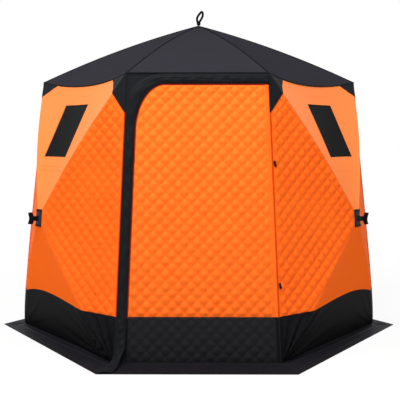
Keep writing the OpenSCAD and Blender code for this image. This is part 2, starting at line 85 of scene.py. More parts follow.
FEET = corners(HUT_W, HUT_D, DOOR_WALL_W, BASE_Z)
EAVES = corners(HUT_W - 2 * SIDE_LEAN, HUT_D - 2 * END_LEAN, DOOR_WALL_W - 2 * DOOR_LEAN, EAVE_H)
SKIRT = corners(HUT_W + 2 * SKIRT_SIDE + 0.006, HUT_D + 2 * SKIRT_END + 0.010, DOOR_WALL_W + 2 * SKIRT_SPREAD, 0.0)
PEAK = np.array([0, 0, PEAK_H])
UP = np.array([0, 0, 1.0])
EDGES = FEET[[following(i) for i in range(6)]] - FEET
OUT = np.stack([EDGES[:, 1], -EDGES[:, 0], np.zeros(6)], axis=1)
OUT /= np.linalg.norm(OUT, axis=1)[:, None]


def mix(a, b, t):
    """A straight blend: a where t is 0 and b where t is 1."""
    return a + (b - a) * np.asarray(t, float)[..., None]


def at_height(a, b, z):
    """The point of the line from a to b that lies at height z."""
    return mix(a, b, (np.asarray(z, float) - a[2]) / (b[2] - a[2]))


def across_up(cols, rows=None):
    """Two grids that go from 0 to 1: one to the right, and one up."""
    return np.meshgrid(np.linspace(0, 1, cols), np.linspace(0, 1, rows or cols))


def unit(v):
    """v cut or stretched to a length of 1."""
    return v / np.linalg.norm(v, axis=-1, keepdims=True)


HUBS = {}
for w in HUB_WALLS:
    low, high = (FEET[w] + FEET[following(w)]) / 2, (EAVES[w] + EAVES[following(w)]) / 2
    middle = low + (high - low) * HUB_H / EAVE_H
    HUBS[w] = np.array([middle[0], middle[1], HUB_H]) + OUT[w] * HUB_BULGE
print("hub of the front right wall:", HUBS[FRONT_RIGHT].round(3))

# %% [markdown]
# ## From a grid of points to a piece of cloth
# A shape is a function of two parameters, worked out for a whole grid at once. Rows run up and columns run to
# the right as seen from outside, so the cross product of the two directions points outwards. The cloth gets its
# thickness by stepping inwards along that direction, and a rim closes it all round.

# %% Cloth from a grid


def outward(P, ring=False):
    """Unit normals of a grid: the cross product of the step to the right and the step up.
    Where a row shrinks to one point its normal is the average of the grid's."""
    if ring:
        across = np.roll(P, -1, axis=1) - np.roll(P, 1, axis=1)
    else:
        across = np.gradient(P, axis=1)
    n = np.cross(across, np.gradient(P, axis=0))
    size = np.linalg.norm(n, axis=-1, keepdims=True)
    flat = size < 1e-10
    average = unit(n.sum(axis=(0, 1)))
    return np.where(flat, average, n / np.where(flat, 1, size))


def raised(P, lift):
    """A grid moved outwards along its normals by lift."""
    return P + outward(P) * lift[..., None]


def rim_quads(first, second, n):
    """Quads that join an outer edge, listed backwards, to the inner edge n vertices later."""
    return np.stack([second, first, first + n, second + n], axis=-1)


def closed(ids):
    """A grid of vertex numbers with its first column again at the end."""
    return np.concatenate([ids, ids[:, :1]], axis=1)


def grid_quads(g):
    """Quads between the neighbouring rows and columns of a grid of vertex numbers."""
    return np.stack([g[:-1, :-1], g[:-1, 1:], g[1:, 1:], g[1:, :-1]], axis=-1).reshape(-1, 4)


def grid_faces(rows, cols, ring):
    """Outer quads, inner quads turned over, and the quads of the rim."""
    n = rows * cols
    ids = np.arange(n).reshape(rows, cols)
    g = closed(ids) if ring else ids
    quads = grid_quads(g)
    rims = [rim_quads(g[0, :-1], g[0, 1:], n), rim_quads(g[-1, 1:], g[-1, :-1], n)]
    if not ring:
        rims += [rim_quads(g[:-1, -1], g[1:, -1], n), rim_quads(g[1:, 0], g[:-1, 0], n)]
    return np.concatenate([quads, quads[:, ::-1] + n] + rims)


def cloth_arrays(P, uv, thick, ring=False):
    """Vertices, quads and flat coordinates of a grid with a thickness."""
    rows, cols = P.shape[:2]
    inner = P - outward(P, ring) * thick
    verts = np.concatenate([P.reshape(-1, 3), inner.reshape(-1, 3)])
    flat = np.concatenate([uv.reshape(-1, 2)] * 2)
    return verts, grid_faces(rows, cols, ring), flat


def make_piece(name, parts, material, body="shelter", node=(), crease=50):
    """One object from several (vertices, quads, flat coordinates), welded where its points coincide."""
    verts, quads, flats, start = [], [], [], 0
    for v, q, f in parts:
        verts.append(v)
        quads.append(q + start)
        flats.append(f)
        start += len(v)
    verts, quads, flats = np.concatenate(verts), np.concatenate(quads), np.concatenate(flats)
    _, first, same = np.unique(verts.round(6), axis=0, return_index=True, return_inverse=True)
    quads = first[same.reshape(-1)][quads]
    used = np.unique(quads)
    number = np.zeros(len(verts), int)
    number[used] = np.arange(len(used))
    distinct = [len(set(q)) == 4 for q in quads.tolist()]
    faces = [q if whole else list(dict.fromkeys(q)) for q, whole in zip(quads.tolist(), distinct)]
    corner_of = np.array([c for f in faces if len(f) > 2 for c in f])
    faces = [[int(number[c]) for c in f] for f in faces if len(f) > 2]
    mesh = bpy.data.meshes.new(name)
    mesh.from_pydata(verts[used].tolist(), [], faces)
    layer = mesh.uv_layers.new(name="cloth")
    layer.data.foreach_set("uv", flats[corner_of].astype(np.float32).ravel())
    mesh.polygons.foreach_set("use_smooth", np.ones(len(mesh.polygons), bool))
    mesh.set_sharp_from_angle(angle=math.radians(crease))
    mesh.materials.append(material)
    piece = bpy.data.objects.new(name, mesh)
    bpy.context.scene.collection.objects.link(piece)
    if body:
        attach(piece, body)
    if node:
        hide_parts(*([node] if isinstance(node, str) else node))
    print(f"{name}: {len(mesh.vertices)} vertices, {len(mesh.polygons)} faces")
    return piece


# %% [markdown]
# ## Wrinkles and quilting
# Quilting is two layers of cloth with wadding between them, stitched along lines that cross at 45 degrees. Each
# diamond swells between its stitches. Ripples that aren't stitched are a sum of a few waves of unrelated length.

# %% Height of quilting and ripples
DIAMOND = 0.073             # a diamond from corner to corner


def quilt(x, y, height):
    """Two families of valleys, where x + y or x - y is a whole number of diamonds, and a swelling between them:
    the product of the two rounded waves, raised to a power under 1 so that the valleys stay narrow."""
    a = np.abs(np.sin(np.pi * (x + y) / DIAMOND))
    b = np.abs(np.sin(np.pi * (x - y) / DIAMOND))
    return height * (a * b) ** 0.9


def ripple(x, y, length, seed):
    """Soft unevenness from -1 to 1: four sine waves whose directions and lengths don't repeat."""
    turn = seed * 1.7 + np.array([0.0, 1.1, 2.3, 3.9])
    total = 0
    for k, a in enumerate(turn):
        total = total + np.sin((x * np.cos(a) + y * np.sin(a)) * (5.1 + 1.7 * k) / length + seed + 2.1 * k)
    return total / 4


def ripple_on(flat, length, seed):
    """The ripple at each pair of flat coordinates."""
    return ripple(flat[..., 0], flat[..., 1], length, seed)


def ease(t):
    """Smooth step: 0 below 0, 1 above 1, with no corner between."""
    t = np.clip(t, 0, 1)
    return t * t * (3 - 2 * t)


def plane_coordinates(P, origin, right):
    """Distances of the grid's points from origin along right, made level, and up the sheet."""
    right = unit(np.array([right[0], right[1], 0.0]))
    along = (P - origin) @ right
    rest = (P - origin) - along[..., None] * right
    return np.stack([along, np.linalg.norm(rest, axis=-1)], axis=-1)


# %% [markdown]
# ## Fabrics
# The shell is coated polyester. Its weave is too fine to see from a few steps away, but it breaks up the gloss
# and the coating gives it a dull sheen at a slant. Every fabric is one function: a base colour that varies a
# little, a weave bump, and for the quilted cloth a row of stitches sunk along each valley, with painted shade
# drawn into the valley. Patterns follow the cloth through its own flat coordinates, which are in metres.

# %% Colour and node helpers


def linear(code):
    """A hex colour as the linear numbers that shaders use."""
    c = np.array([int(code[k:k + 2], 16) for k in (1, 3, 5)]) / 255
    c = np.where(c <= 0.04045, c / 12.92, ((c + 0.055) / 1.055) ** 2.4)
    return (*c.tolist(), 1.0)


class Nodes:
    """A short way to add nodes to a material or a world and join them."""

    def __init__(self, name, world=False):
        self.owner = (bpy.data.worlds if world else bpy.data.materials).new(name)
        self.owner.use_nodes = True
        self.tree = self.owner.node_tree
        self.tree.nodes.clear()
        self.out = self.add("ShaderNodeOutputWorld" if world else "ShaderNodeOutputMaterial")

    def add(self, kind, **inputs):
        node = self.tree.nodes.new(kind)
        for key, value in inputs.items():
            if hasattr(node, key) and key not in node.inputs:
                setattr(node, key, value)
            else:
                self.put(node.inputs[key], value)
        return node

    def put(self, socket, value):
        if isinstance(value, bpy.types.NodeSocket):
            self.tree.links.new(value, socket)
        else:
            socket.default_value = value

    def math(self, operation, a, b=None):
        node = self.tree.nodes.new("ShaderNodeMath")
        node.operation = operation
        for socket, value in zip(node.inputs, (a, b)):
            if value is not None:
                self.put(socket, value)
        return node.outputs[0]

    def times(self, a, b):
        return self.math("MULTIPLY", a, b)

    def plus(self, a, b):
        return self.math("ADD", a, b)

    def minus(self, a, b):
        return self.math("SUBTRACT", a, b)

    def blend(self, factor, a, b):
        node = self.tree.nodes.new("ShaderNodeMix")
        node.data_type = "RGBA"
        self.put(node.inputs["Factor"], factor)
        self.put(node.inputs[6], a)
        self.put(node.inputs[7], b)
        return node.outputs[2]

    def noise(self, vector, scale, detail=2.0):
        node = self.tree.nodes.new("ShaderNodeTexNoise")
        self.put(node.inputs["Vector"], vector)
        node.inputs["Scale"].default_value = scale
        node.inputs["Detail"].default_value = detail
        return node.outputs["Fac"]

    def stretch(self, vector, scale):
        node = self.tree.nodes.new("ShaderNodeMapping")
        self.put(node.inputs["Vector"], vector)
        node.inputs["Scale"].default_value = scale
        return node.outputs["Vector"]

    def show(self, colour, roughness, height, strength, gloss):
        """Joins a colour, a roughness and a bump to the shader that shows, and returns that shader."""
        bump = self.add("ShaderNodeBump", Height=height, Distance=1.0, Strength=strength)
        shader = self.add("ShaderNodeBsdfPrincipled", Roughness=roughness, Normal=bump.outputs["Normal"])
        self.put(shader.inputs["Base Color"], colour)
        shader.inputs["Specular IOR Level"].default_value = gloss
        self.put(self.out.inputs["Surface"], shader.outputs["BSDF"])
        return shader

    def show_either(self, factor, first, second):
        """Shows the first shader where factor is 0 and the second where it is 1."""
        both = self.add("ShaderNodeMixShader")
        for socket, value in zip(both.inputs, (factor, first.outputs[0], second.outputs[0])):
            self.put(socket, value)
        self.put(self.out.inputs["Surface"], both.outputs[0])


def line_distance(n, value, period):
    """How far value is from the nearest whole number of periods, from 0 on the line to 0.5 between lines."""
    part = n.math("FRACT", n.math("DIVIDE", value, period))
    return n.math("MINIMUM", part, n.minus(1.0, part))


def soft_line(n, distance, width):
    """1 on a line and 0 from width outwards."""
    return n.minus(1.0, n.math("MINIMUM", n.math("DIVIDE", distance, width), 1.0))


# %% Fabric material
WEAVE = 0.0011              # spacing of the weave's threads


def fabric(name, code, dark, rough=0.62, sheen=0.02, quilted=False, stitches=(), crinkle=0.25, spread=0.10,
           gloss=0.07, darken_to_ground=0.0):
    """Coated cloth. quilted adds stitches along the diamonds' valleys, stitches is a list of (low x, high x, y)
    rows of straight stitching in flat coordinates; both sink the cloth and paint shade into its grooves by drawing
    the colour towards dark. The last argument darkens the cloth towards the ground, by that share at the ground and
    fading out 1.5 m up."""
    n = Nodes(name)
    uv = n.add("ShaderNodeUVMap", uv_map="cloth").outputs["UV"]
    place = n.add("ShaderNodeTexCoord").outputs["Object"]
    split = n.add("ShaderNodeSeparateXYZ", Vector=uv)
    x, y = split.outputs["X"], split.outputs["Y"]
    thread_a = n.math("SINE", n.times(x, 2 * math.pi / WEAVE))
    thread_b = n.math("SINE", n.times(y, 2 * math.pi / WEAVE))
    weave = n.times(thread_a, thread_b)
    cloudy = n.noise(place, 7.0, 3.0)
    fine = n.noise(n.stretch(uv, (90, 90, 90)), 1.0, 3.0)
    height = n.times(weave, 0.00008)
    height = n.plus(height, n.times(fine, 0.0012 * crinkle))
    dent = None         # how near a stitched line is, from 0 to 1
    if quilted:
        summed, apart = n.plus(x, y), n.minus(x, y)
        da, db = line_distance(n, summed, DIAMOND), line_distance(n, apart, DIAMOND)
        near = n.math("MINIMUM", da, db)
        dent = soft_line(n, near, 0.055)
        dash = n.math("GREATER_THAN", n.math("SINE", n.times(x, 2 * math.pi / 0.0042)), -0.35)
        thread = n.times(n.math("LESS_THAN", near, 0.012), dash)
        height = n.minus(height, n.times(n.math("POWER", dent, 2.0), 0.0016))
        height = n.plus(height, n.times(thread, 0.0005))
    for low, high, level in stitches:
        inside = n.times(n.math("GREATER_THAN", x, low), n.math("LESS_THAN", x, high))
        close = soft_line(n, n.math("ABSOLUTE", n.minus(y, level)), 0.005)
        row = n.times(close, inside)
        dent = row if dent is None else n.math("MAXIMUM", dent, row)
        height = n.minus(height, n.times(row, 0.0010))
    colour = n.blend(n.times(cloudy, spread * 4), linear(code), linear(dark))
    if dent is not None:
        # Painted shade: along the stitched valleys and rows the colour is drawn about a third of the way towards
        # dark.
        colour = n.blend(n.times(dent, 0.35), colour, linear(dark))
    if darken_to_ground:
        # Darker towards the ground: the colour is drawn towards dark by the given share at the ground, fading out
        # 1.5 m up.
        level = n.add("ShaderNodeSeparateXYZ", Vector=place).outputs["Z"]
        fall = n.math("MINIMUM", n.math("MAXIMUM", n.minus(1.0, n.math("DIVIDE", level, 1.5)), 0.0), 1.0)
        colour = n.blend(n.times(fall, darken_to_ground), colour, linear(dark))
    roughness = n.plus(rough - 0.06, n.times(fine, 0.12))
    shader = n.show(colour, roughness, height, 0.8, gloss)
    shader.inputs["Sheen Weight"].default_value = sheen
    shader.inputs["Sheen Roughness"].default_value = 0.4
    shader.inputs["Sheen Tint"].default_value = linear(code)
    return n.owner


quilted_orange = fabric("quilted orange cloth", "#fd6e1b", "#d9440a", quilted=True, crinkle=0.12, darken_to_ground=0.15)
door_orange = fabric("quilted orange door cloth", "#ff7a26", "#e2500a", quilted=True, crinkle=0.12, darken_to_ground=0.45)
strip_orange = fabric("plain orange cloth", "#fb6d1c", "#d9480a", crinkle=0.12)
# Painted shade: the lower panels' orange is a little deeper than the walls', for the lesser light they get facing
# down.
lower_orange = fabric("lower orange cloth", "#f7670a", "#e35a05", spread=0.05, gloss=0.03)
piping_orange = fabric("orange piping", "#cf3d05", "#a82c02", crinkle=0.3)
black_cloth = fabric("black cloth", "#151517", "#101011", rough=0.6, sheen=0.0, gloss=0.02, crinkle=0.4)
black_quilt = fabric("quilted black cloth", "#17171a", "#0d0d0e", rough=0.5, sheen=0.0, gloss=0.10, quilted=True)
# Painted light: the roof is a lighter grey than the walls' black cloth, for the extra light that its upward slope
# catches.
roof_cloth = fabric("roof cloth", "#2f2e34", "#28272c", rough=0.8, sheen=0.0, gloss=0.0, crinkle=0.3)
hip_tape = fabric("hip tape", "#151518", "#101012", rough=0.7, sheen=0.0, gloss=0.01, crinkle=0.3)
gusset_cloth = fabric("gusset cloth", "#1e1f22", "#161719", rough=0.65, sheen=0.0, gloss=0.015, crinkle=0.4)
# Painted highlight: the hub patches are black cloth, given a blue-grey colour for the grey-blue sheen they show.
patch_cloth = fabric("hub patch cloth", "#252a33", "#1a1d24", rough=0.55, sheen=0.0, gloss=0.10, crinkle=0.6)
skirt_cloth = fabric("skirt cloth", "#17161b", "#0f0f12", rough=0.6, sheen=0.0, gloss=0.06, crinkle=0.5)
flap_cloth = fabric("storm flap cloth", "#17181a", "#111214", rough=0.55, sheen=0.0, gloss=0.05, crinkle=0.4)
webbing_cloth = fabric("black webbing", "#0c0c0e", "#060607", rough=0.6, sheen=0.0, gloss=0.06, crinkle=0.9)
# Painted shadow: a dark red for the shade along the door's open edge, under the flap and the head.
edge_shadow_red = fabric("painted edge shadow", "#951a07", "#701104", rough=0.6)

# %% Plastic material


def plastic(name, code, dark, rough, gloss=0.35):
    """Moulded plastic or coated glass fibre: faint mottling, and a grain that breaks up the gloss."""
    n = Nodes(name)
    place = n.add("ShaderNodeTexCoord").outputs["Object"]
    grain = n.noise(place, 900.0, 2.0)
    mottled = n.noise(place, 30.0, 3.0)
    n.show(n.blend(mottled, linear(code), linear(dark)), n.plus(rough, n.times(mottled, 0.15)),
           n.times(grain, 0.0004), 1.0, gloss)
    return n.owner


hub_plastic = plastic("hub plastic", "#1b1b1d", "#101011", 0.42)
toggle_plastic = plastic("toggle plastic", "#0c0c0d", "#080809", 0.55, gloss=0.12)
rod_plastic = plastic("coated glass fibre", "#5d5f63", "#48494d", 0.35)
window_film = plastic("dark window film", "#1e1e1e", "#1b1b1c", 0.65, gloss=0.01)


def dress(nodes, material):
    """Gives CAD nodes a material in place of their plain one."""
    for name in nodes:
        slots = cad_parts[name].data.materials
        slots.clear()
        slots.append(material)


dress([f"{WALL_NAMES[w]}_rods" for w in HUB_WALLS] + ["roof_rods"], rod_plastic)
dress(["wall_hubs", "roof_hub", "eave_sockets", "foot_sockets"], hub_plastic)
dress(["door_cord"], webbing_cloth)

# %% [markdown]
# ## Quilted sides of the pushed-out walls
# Beside each corner post a quilted triangle runs from the black base up to the eave, and out to the hub. It is
# ruled with level lines from the post to the seam, so that it tapers to a point at the eave by itself, and the
# quilting is added as a height above it. The swelling fades out at the seams, where the stitching holds it down.

# %% Posts, seams and quilted sides


SIDE_BOW, LOW_BOW, HIGH_BOW = 0.020, 0.024, 0.024
SEAM_RISE, BAND_RISE = 0.015, 0.034     # how far the band's top edge rises: to the seams, and between them


def arch(t, peak):
    """A smooth arch over 0 to 1 that is 1 high at its peak: t to a power times 1 - t to a power."""
    t = np.clip(t, 0, 1)
    a, b = 2.5 * peak, 2.5 * (1 - peak)
    return t ** a * (1 - t) ** b / (peak ** a * (1 - peak) ** b)


def post(i, z):
    """The corner's line at height z. At the two side corners the cloth stands out a little, most near the base."""
    out = np.array([np.sign(FEET[i][0]), 0, 0]) * (SIDE_BOW if i in SIDE_CORNERS else 0)
    z = np.asarray(z, float)
    return at_height(FEET[i], EAVES[i], z) + arch((z - BASE_Z) / (EAVE_H - BASE_Z), 0.19)[..., None] * out


def patch_corner(w, p):
    """Where the hub's patch meets the seam that runs from the hub to p."""
    return mix(HUBS[w], p, PATCH)


def seam(w, i, z):
    """The line from foot i to the hub's patch, up its side and on to the eave, at height z. Each of its two long
    stretches follows a rod that is bent outwards like a bow."""
    low, high = patch_corner(w, FEET[i]), patch_corner(w, EAVES[i])
    z = np.asarray(z, float)
    bend_low = LOW_BOW * arch((z - BASE_Z) / (low[2] - BASE_Z), 0.42)
    bend_high = HIGH_BOW * arch((z - high[2]) / (EAVE_H - high[2]), 0.5)
    below = at_height(FEET[i], low, z) + bend_low[..., None] * OUT[w]
    beside = at_height(low, high, z)
    above = at_height(high, EAVES[i], z) + bend_high[..., None] * OUT[w]
    return np.where((z < low[2])[..., None], below, np.where((z > high[2])[..., None], above, beside))


GUSSET_POST = 0.229         # how far down the post a corner gusset reaches


def gusset_reach(i):
    """How far a gusset reaches from corner i along the seam towards the hub: less at the side corners."""
    return 0.124 if i in SIDE_CORNERS else 0.142


def gusset_drop(w, i):
    """How far below the eave that end of the gusset is."""
    return gusset_reach(i) * (EAVE_H - HUB_H) / np.linalg.norm(HUBS[w] - EAVES[i])


def quilted_grid(w, i, cell, height):
    """Lines from the post to the seam, level but for the lowest, which rise towards the seam, with the
    quilting's height along the normal."""
    v = np.linspace(0, 1, int((EAVE_H - BASE_H) / cell))[:, None]
    widest = np.linalg.norm(post(i, HUB_H) - seam(w, i, HUB_H))
    u = np.linspace(0, 1, int(widest / cell))[None, :]
    from_post = u if i == w else 1 - u
    foot = BASE_H + SEAM_RISE * from_post
    z = foot + (EAVE_H - foot) * v
    P = mix(post(i, z), seam(w, i, z), from_post + 0 * z)
    flat = plane_coordinates(P, FEET[i], P[0, -1] - P[0, 0])
    wide = np.linalg.norm(P[:, -1] - P[:, 0], axis=1)[:, None]
    beside_post = from_post * wide * (0.35 if i in SIDE_CORNERS else 0.6)
    edge = np.minimum(np.minimum(np.minimum(u, 1 - u) * wide, beside_post), z - foot + 0.004)
    gusset_low = EAVE_H - GUSSET_POST + (GUSSET_POST - gusset_drop(w, i)) * from_post
    covered = ease((z - gusset_low + 0.022) / 0.02)
    hold = ease(edge / 0.020) * (1 - covered)
    if i in SIDE_CORNERS:
        hold = hold * (1 - 0.8 * ease((z - HUB_H) / 0.25))
    swell = quilt(flat[..., 0], flat[..., 1], height) * (1 + 0.25 * ripple_on(flat, 0.6, w + i))
    slack = 0.010 * 4 * u * (1 - u) * ease(wide / 0.4)
    soft = 0.0022 * ripple_on(flat, 0.9, 3 + w)
    lift = swell * hold - slack * 0.6 + soft * hold
    return raised(P, lift), flat


SIDE_QUILT, FRONT_QUILT, QUILT_THICK = 0.0080, 0.0120, 0.006
FINE_CELL, COARSE_CELL = 0.0078, 0.010

for w in HUB_WALLS:
    cell = FINE_CELL if w in (FRONT_LEFT, FRONT_RIGHT) else COARSE_CELL
    parts = [cloth_arrays(*quilted_grid(w, i, cell, SIDE_QUILT if i in SIDE_CORNERS else FRONT_QUILT), QUILT_THICK)
             for i in (w, following(w))]
    name = f"{WALL_NAMES[w]}_quilted_sides"
    piece = make_piece(f"{name}_cloth", parts, quilted_orange, node=name)

# %% [markdown]
# ## Window panels
# The triangle under the eave is smooth, and a dark clear window is let into it. Cutting a hole out of a finished
# sheet leaves ragged faces, so the cloth is laid as a ring instead: its outer rows follow the panel's edge, its
# inner rows the window's, and the rows between blend from one to the other.

# %% Shape of a window panel
WINDOW_H, WINDOW_DROP, WINDOW_SKEW, WINDOW_SHIFT = 0.326, 0.168, 0.020, 0.025
WINDOW_HEAD, WINDOW_SILL = 0.300, 0.265


def eave_point(w, s):
    """The eave of wall w from its left corner, s = 0, to its right one, s = 1: a shallow curve that hangs down
    and is drawn in between the corners on the pushed-out walls."""
    s = np.asarray(s, float)
    hang = 4 * s * (1 - s) if w in HUB_WALLS else 0 * s
    return mix(EAVES[w], EAVES[following(w)], s) - hang[..., None] * (
        np.array([0, 0, EAVE_DIP]) + OUT[w] * EAVE_PULL)


def level_along(w):
    """The level direction along wall w, to the right as seen from outside."""
    return np.array([-OUT[w][1], OUT[w][0], 0.0])


def panel_frame(w):
    """Middle of the eave, its length, and the measure that gives a point's place along it."""
    a, b = EAVES[w], EAVES[following(w)]
    return (a + b) / 2, np.linalg.norm(b - a), level_along(w) / (level_along(w) @ unit(b - a))


def panel_point(w, x, z):
    """A point of the panel from its place x along the eave and its height z. It lies on the straight line from
    the hub to a point of the eave, and which one it is comes from a few rounds of correction."""
    middle, length, measure = panel_frame(w)
    hub_x = (HUBS[w] - middle) @ measure
    s = 0.5 + x / length
    for _ in range(12):
        top = EAVE_H - EAVE_DIP * 4 * s * (1 - s)
        q = np.maximum((z - HUB_H) / (top - HUB_H), PATCH * 0.5)
        s = (hub_x + (x - hub_x) / q) / length + 0.5
    return mix(HUBS[w], eave_point(w, s), q), s, q


def window_corners(w):
    """The window's corners in (place along the eave, height), anticlockwise from the lower left."""
    side = 1 if w in (FRONT_RIGHT, BACK_LEFT) else -1
    sill, head = side * (WINDOW_SHIFT + WINDOW_SKEW / 2), side * (WINDOW_SHIFT - WINDOW_SKEW / 2)
    low, high = EAVE_H - WINDOW_DROP - WINDOW_H, EAVE_H - WINDOW_DROP
    return np.array([[sill - WINDOW_SILL / 2, low], [sill + WINDOW_SILL / 2, low],
                     [head + WINDOW_HEAD / 2, high], [head - WINDOW_HEAD / 2, high]])


def outline(points, counts):
    """A closed line through points, with counts[k] equal steps along its side k."""
    sides = [mix(points[k], points[(k + 1) % len(points)], np.arange(c) / c) for k, c in enumerate(counts)]
    return np.concatenate(sides)


def panel_hollow(w, s, q, pulled=1.0):
    """How far tight cloth between two bent rods and a curved hem is drawn in: a shallow bowl, less the rods' own
    bow, with faint pull lines from the hem."""
    t = (q - PATCH) / (1 - PATCH)
    bowl = 0.022 * 4 * s * (1 - s) * np.sin(np.pi * np.clip(t, 0, 1)) ** 0.8 - HIGH_BOW * arch(t, 0.5)
    pull = 0.0012 * pulled * np.sin(s * 95 + 3 * w) * ease((t - 0.55) / 0.45) * (1 - ease((t - 0.97) / 0.03))
    return bowl + pull


PANEL_STEPS = (44, 64, 44, 64)
EDGE_STEPS = (20, 4, 20, 64, 44, 64)
SEAM_SHARE = 0.30


def window_panel_grid(w):
    """Rows from the panel's edge to the window's, blended in the flat, then carried onto the panel. The sill's
    corners pair with points SEAM_SHARE of the way up the seams, so that no row crosses the window."""
    middle, length, measure = panel_frame(w)
    tips = [patch_corner(w, EAVES[w]), patch_corner(w, EAVES[following(w)])]
    tip_x = [(t - middle) @ measure for t in tips]
    tip_left, tip_right = np.array([[x, tip[2]] for x, tip in zip(tip_x, tips)])
    left, right = np.array([[-length / 2, EAVE_H], [length / 2, EAVE_H]])
    edges = [mix(tip_left, left, SEAM_SHARE), tip_left, tip_right, mix(tip_right, right, SEAM_SHARE), right, left]
    outer = outline(edges, EDGE_STEPS)
    top = slice(sum(PANEL_STEPS[:2]), sum(PANEL_STEPS[:3]))
    s_top = outer[top, 0] / length + 0.5
    outer[top, 1] = EAVE_H - EAVE_DIP * 4 * s_top * (1 - s_top)
    inner = outline(window_corners(w), PANEL_STEPS)
    r = np.linspace(0, 1, 34) ** 0.85
    xz = mix(outer[None], inner[None], r[:, None].repeat(len(outer), 1))
    P, s, q = panel_point(w, xz[..., 0], xz[..., 1])
    P = P - OUT[w] * panel_hollow(w, s, q)[..., None]
    return P, xz


WINDOW_TOP = EAVE_H - WINDOW_DROP
WINDOW_LOW = WINDOW_TOP - WINDOW_H
# Painted light: the window panels are the walls' orange made paler, for the extra light that their upward tilt
# catches.
window_orange = fabric("window panel cloth", "#f88745", "#ee7530", spread=0.05, crinkle=0.15, gloss=0.04, stitches=[
    (-0.17, 0.17, WINDOW_TOP + 0.048), (-0.17, 0.17, WINDOW_LOW - 0.062), (-0.16, 0.16, WINDOW_LOW - 0.088)])

for w in HUB_WALLS:
    P, flat = window_panel_grid(w)
    name = f"{WALL_NAMES[w]}_window_panel"
    piece = make_piece(f"{name}_cloth", [cloth_arrays(P, flat, 0.005, ring=True)], window_orange,
                       node=name, crease=40)

# %% [markdown]
# ## Windows
# Each window is a dark film welded behind the panel. It follows the same panel function a little further in, and
# reaches under the cloth's edge all round, so that no light passes between them.

# %% Window film


def film_grid(w):
    """A grid between the window's four corners, widened by a few millimetres, on the panel's own surface."""
    c = window_corners(w)
    centre = c.mean(axis=0)
    c = centre + (c - centre) * np.array([1.05, 1.04])
    u, v = across_up(24)
    xz = mix(mix(c[0], c[1], u), mix(c[3], c[2], u), v)
    P, s, q = panel_point(w, xz[..., 0], xz[..., 1])
    billow = 0.0006 * (1 + ripple(u, v, 0.8, 5 + w))
    return P - OUT[w] * (panel_hollow(w, s, q, 0) + 0.0036 + billow)[..., None], xz


make_piece("window_films", [cloth_arrays(*film_grid(w), 0.0012) for w in HUB_WALLS], window_film,
           node="window_panes")

# %% [markdown]
# ## Lower panels and the black base
# Under each hub a plain panel leans back to the ground, in an orange painted a little deeper than the walls' for
# the shade it gets facing down. Below it runs a black band, whose top edge rises a little between the seams. At the
# foot corners the band is gathered, which makes wrinkles that fan out from the corner: waves in the angle round it,
# strongest a hand's width away.

# %% Lower panels


def band_top(w, s):
    """Height of the black band's top edge between the two seams: an arch whose peak is nearer the side corner."""
    return BASE_H + SEAM_RISE + BAND_RISE * arch(s if following(w) in SIDE_CORNERS else 1 - s, 0.66)


def lower_point(w, s, z):
    """A point of the leaning middle panel at height z: s goes from the left seam to the right one."""
    return mix(seam(w, w, z), seam(w, following(w), z), s)


def lower_slack(s, z):
    """How far the middle panel is drawn in: a shallow hollow, most under the hub."""
    t = (z - BASE_Z) / (HUB_H * (1 - PATCH) - BASE_Z)
    return 0.012 * 4 * s * (1 - s) * np.sin(np.pi * np.clip(t, 0, 1))


def panel_dent(w, s, z, flat):
    """The hollow with a soft unevenness on it. The band below follows the same one, so that no gap opens."""
    return lower_slack(s, z) + 0.0015 * ripple_on(flat, 1.0, w) * 4 * s * (1 - s)


for w in HUB_WALLS:
    s, v = across_up(60, 50)
    top = patch_corner(w, FEET[w])[2]
    z = band_top(w, s) + (top - band_top(w, s)) * v
    P = lower_point(w, s, z)
    flat = plane_coordinates(P, FEET[w], EDGES[w])
    P = raised(P, -panel_dent(w, s, z, flat))
    name = f"{WALL_NAMES[w]}_lower_panel"
    piece = make_piece(f"{name}_cloth", [cloth_arrays(P, flat, 0.005)], lower_orange,
                       node=name)

# %% Black base band


def fan(x, y, seed, reach=0.12):
    """Gathered wrinkles round a corner at (0, 0): a wave in the angle, of changing length, whose height grows to
    its most at the reach and then dies away."""
    r = np.hypot(x, y)
    angle = np.arctan2(y, np.abs(x) + 1e-9)
    grow = r / reach * np.exp(1 - r / reach)
    wave = np.sin(27 * angle + seed) + 0.5 * np.sin(48 * angle + 2.3 * seed + 3 * r)
    return 0.0105 * grow * wave


def band_grid(w):
    """Three stretches side by side: left triangle, middle, right triangle. At each height the stretches run
    between post, seam, seam and post, so the triangles shrink to nothing at the ground."""
    j = following(w)
    v = np.linspace(0, 1, 34)[:, None]
    blocks, parts_of_middle, heights = [], [], []
    for kind, cols in (("left", 26), ("middle", 70), ("right", 26)):
        u = np.linspace(0, 1, cols)[None, :]
        if kind != "left":
            u = u[:, 1:]
        top = {"left": BASE_H + SEAM_RISE * u, "middle": band_top(w, u),
               "right": BASE_H + SEAM_RISE * (1 - u)}[kind]
        z = BASE_Z + (top - BASE_Z) * v
        u = u + 0 * z
        heights.append(z)
        parts_of_middle.append(u if kind == "middle" else 0 * u)
        if kind == "left":
            blocks.append(mix(post(w, z), seam(w, w, z), u))
        elif kind == "middle":
            blocks.append(lower_point(w, u, z))
        else:
            blocks.append(mix(seam(w, j, z), post(j, z), u))
    return (np.concatenate(b, axis=1) for b in (blocks, parts_of_middle, heights))


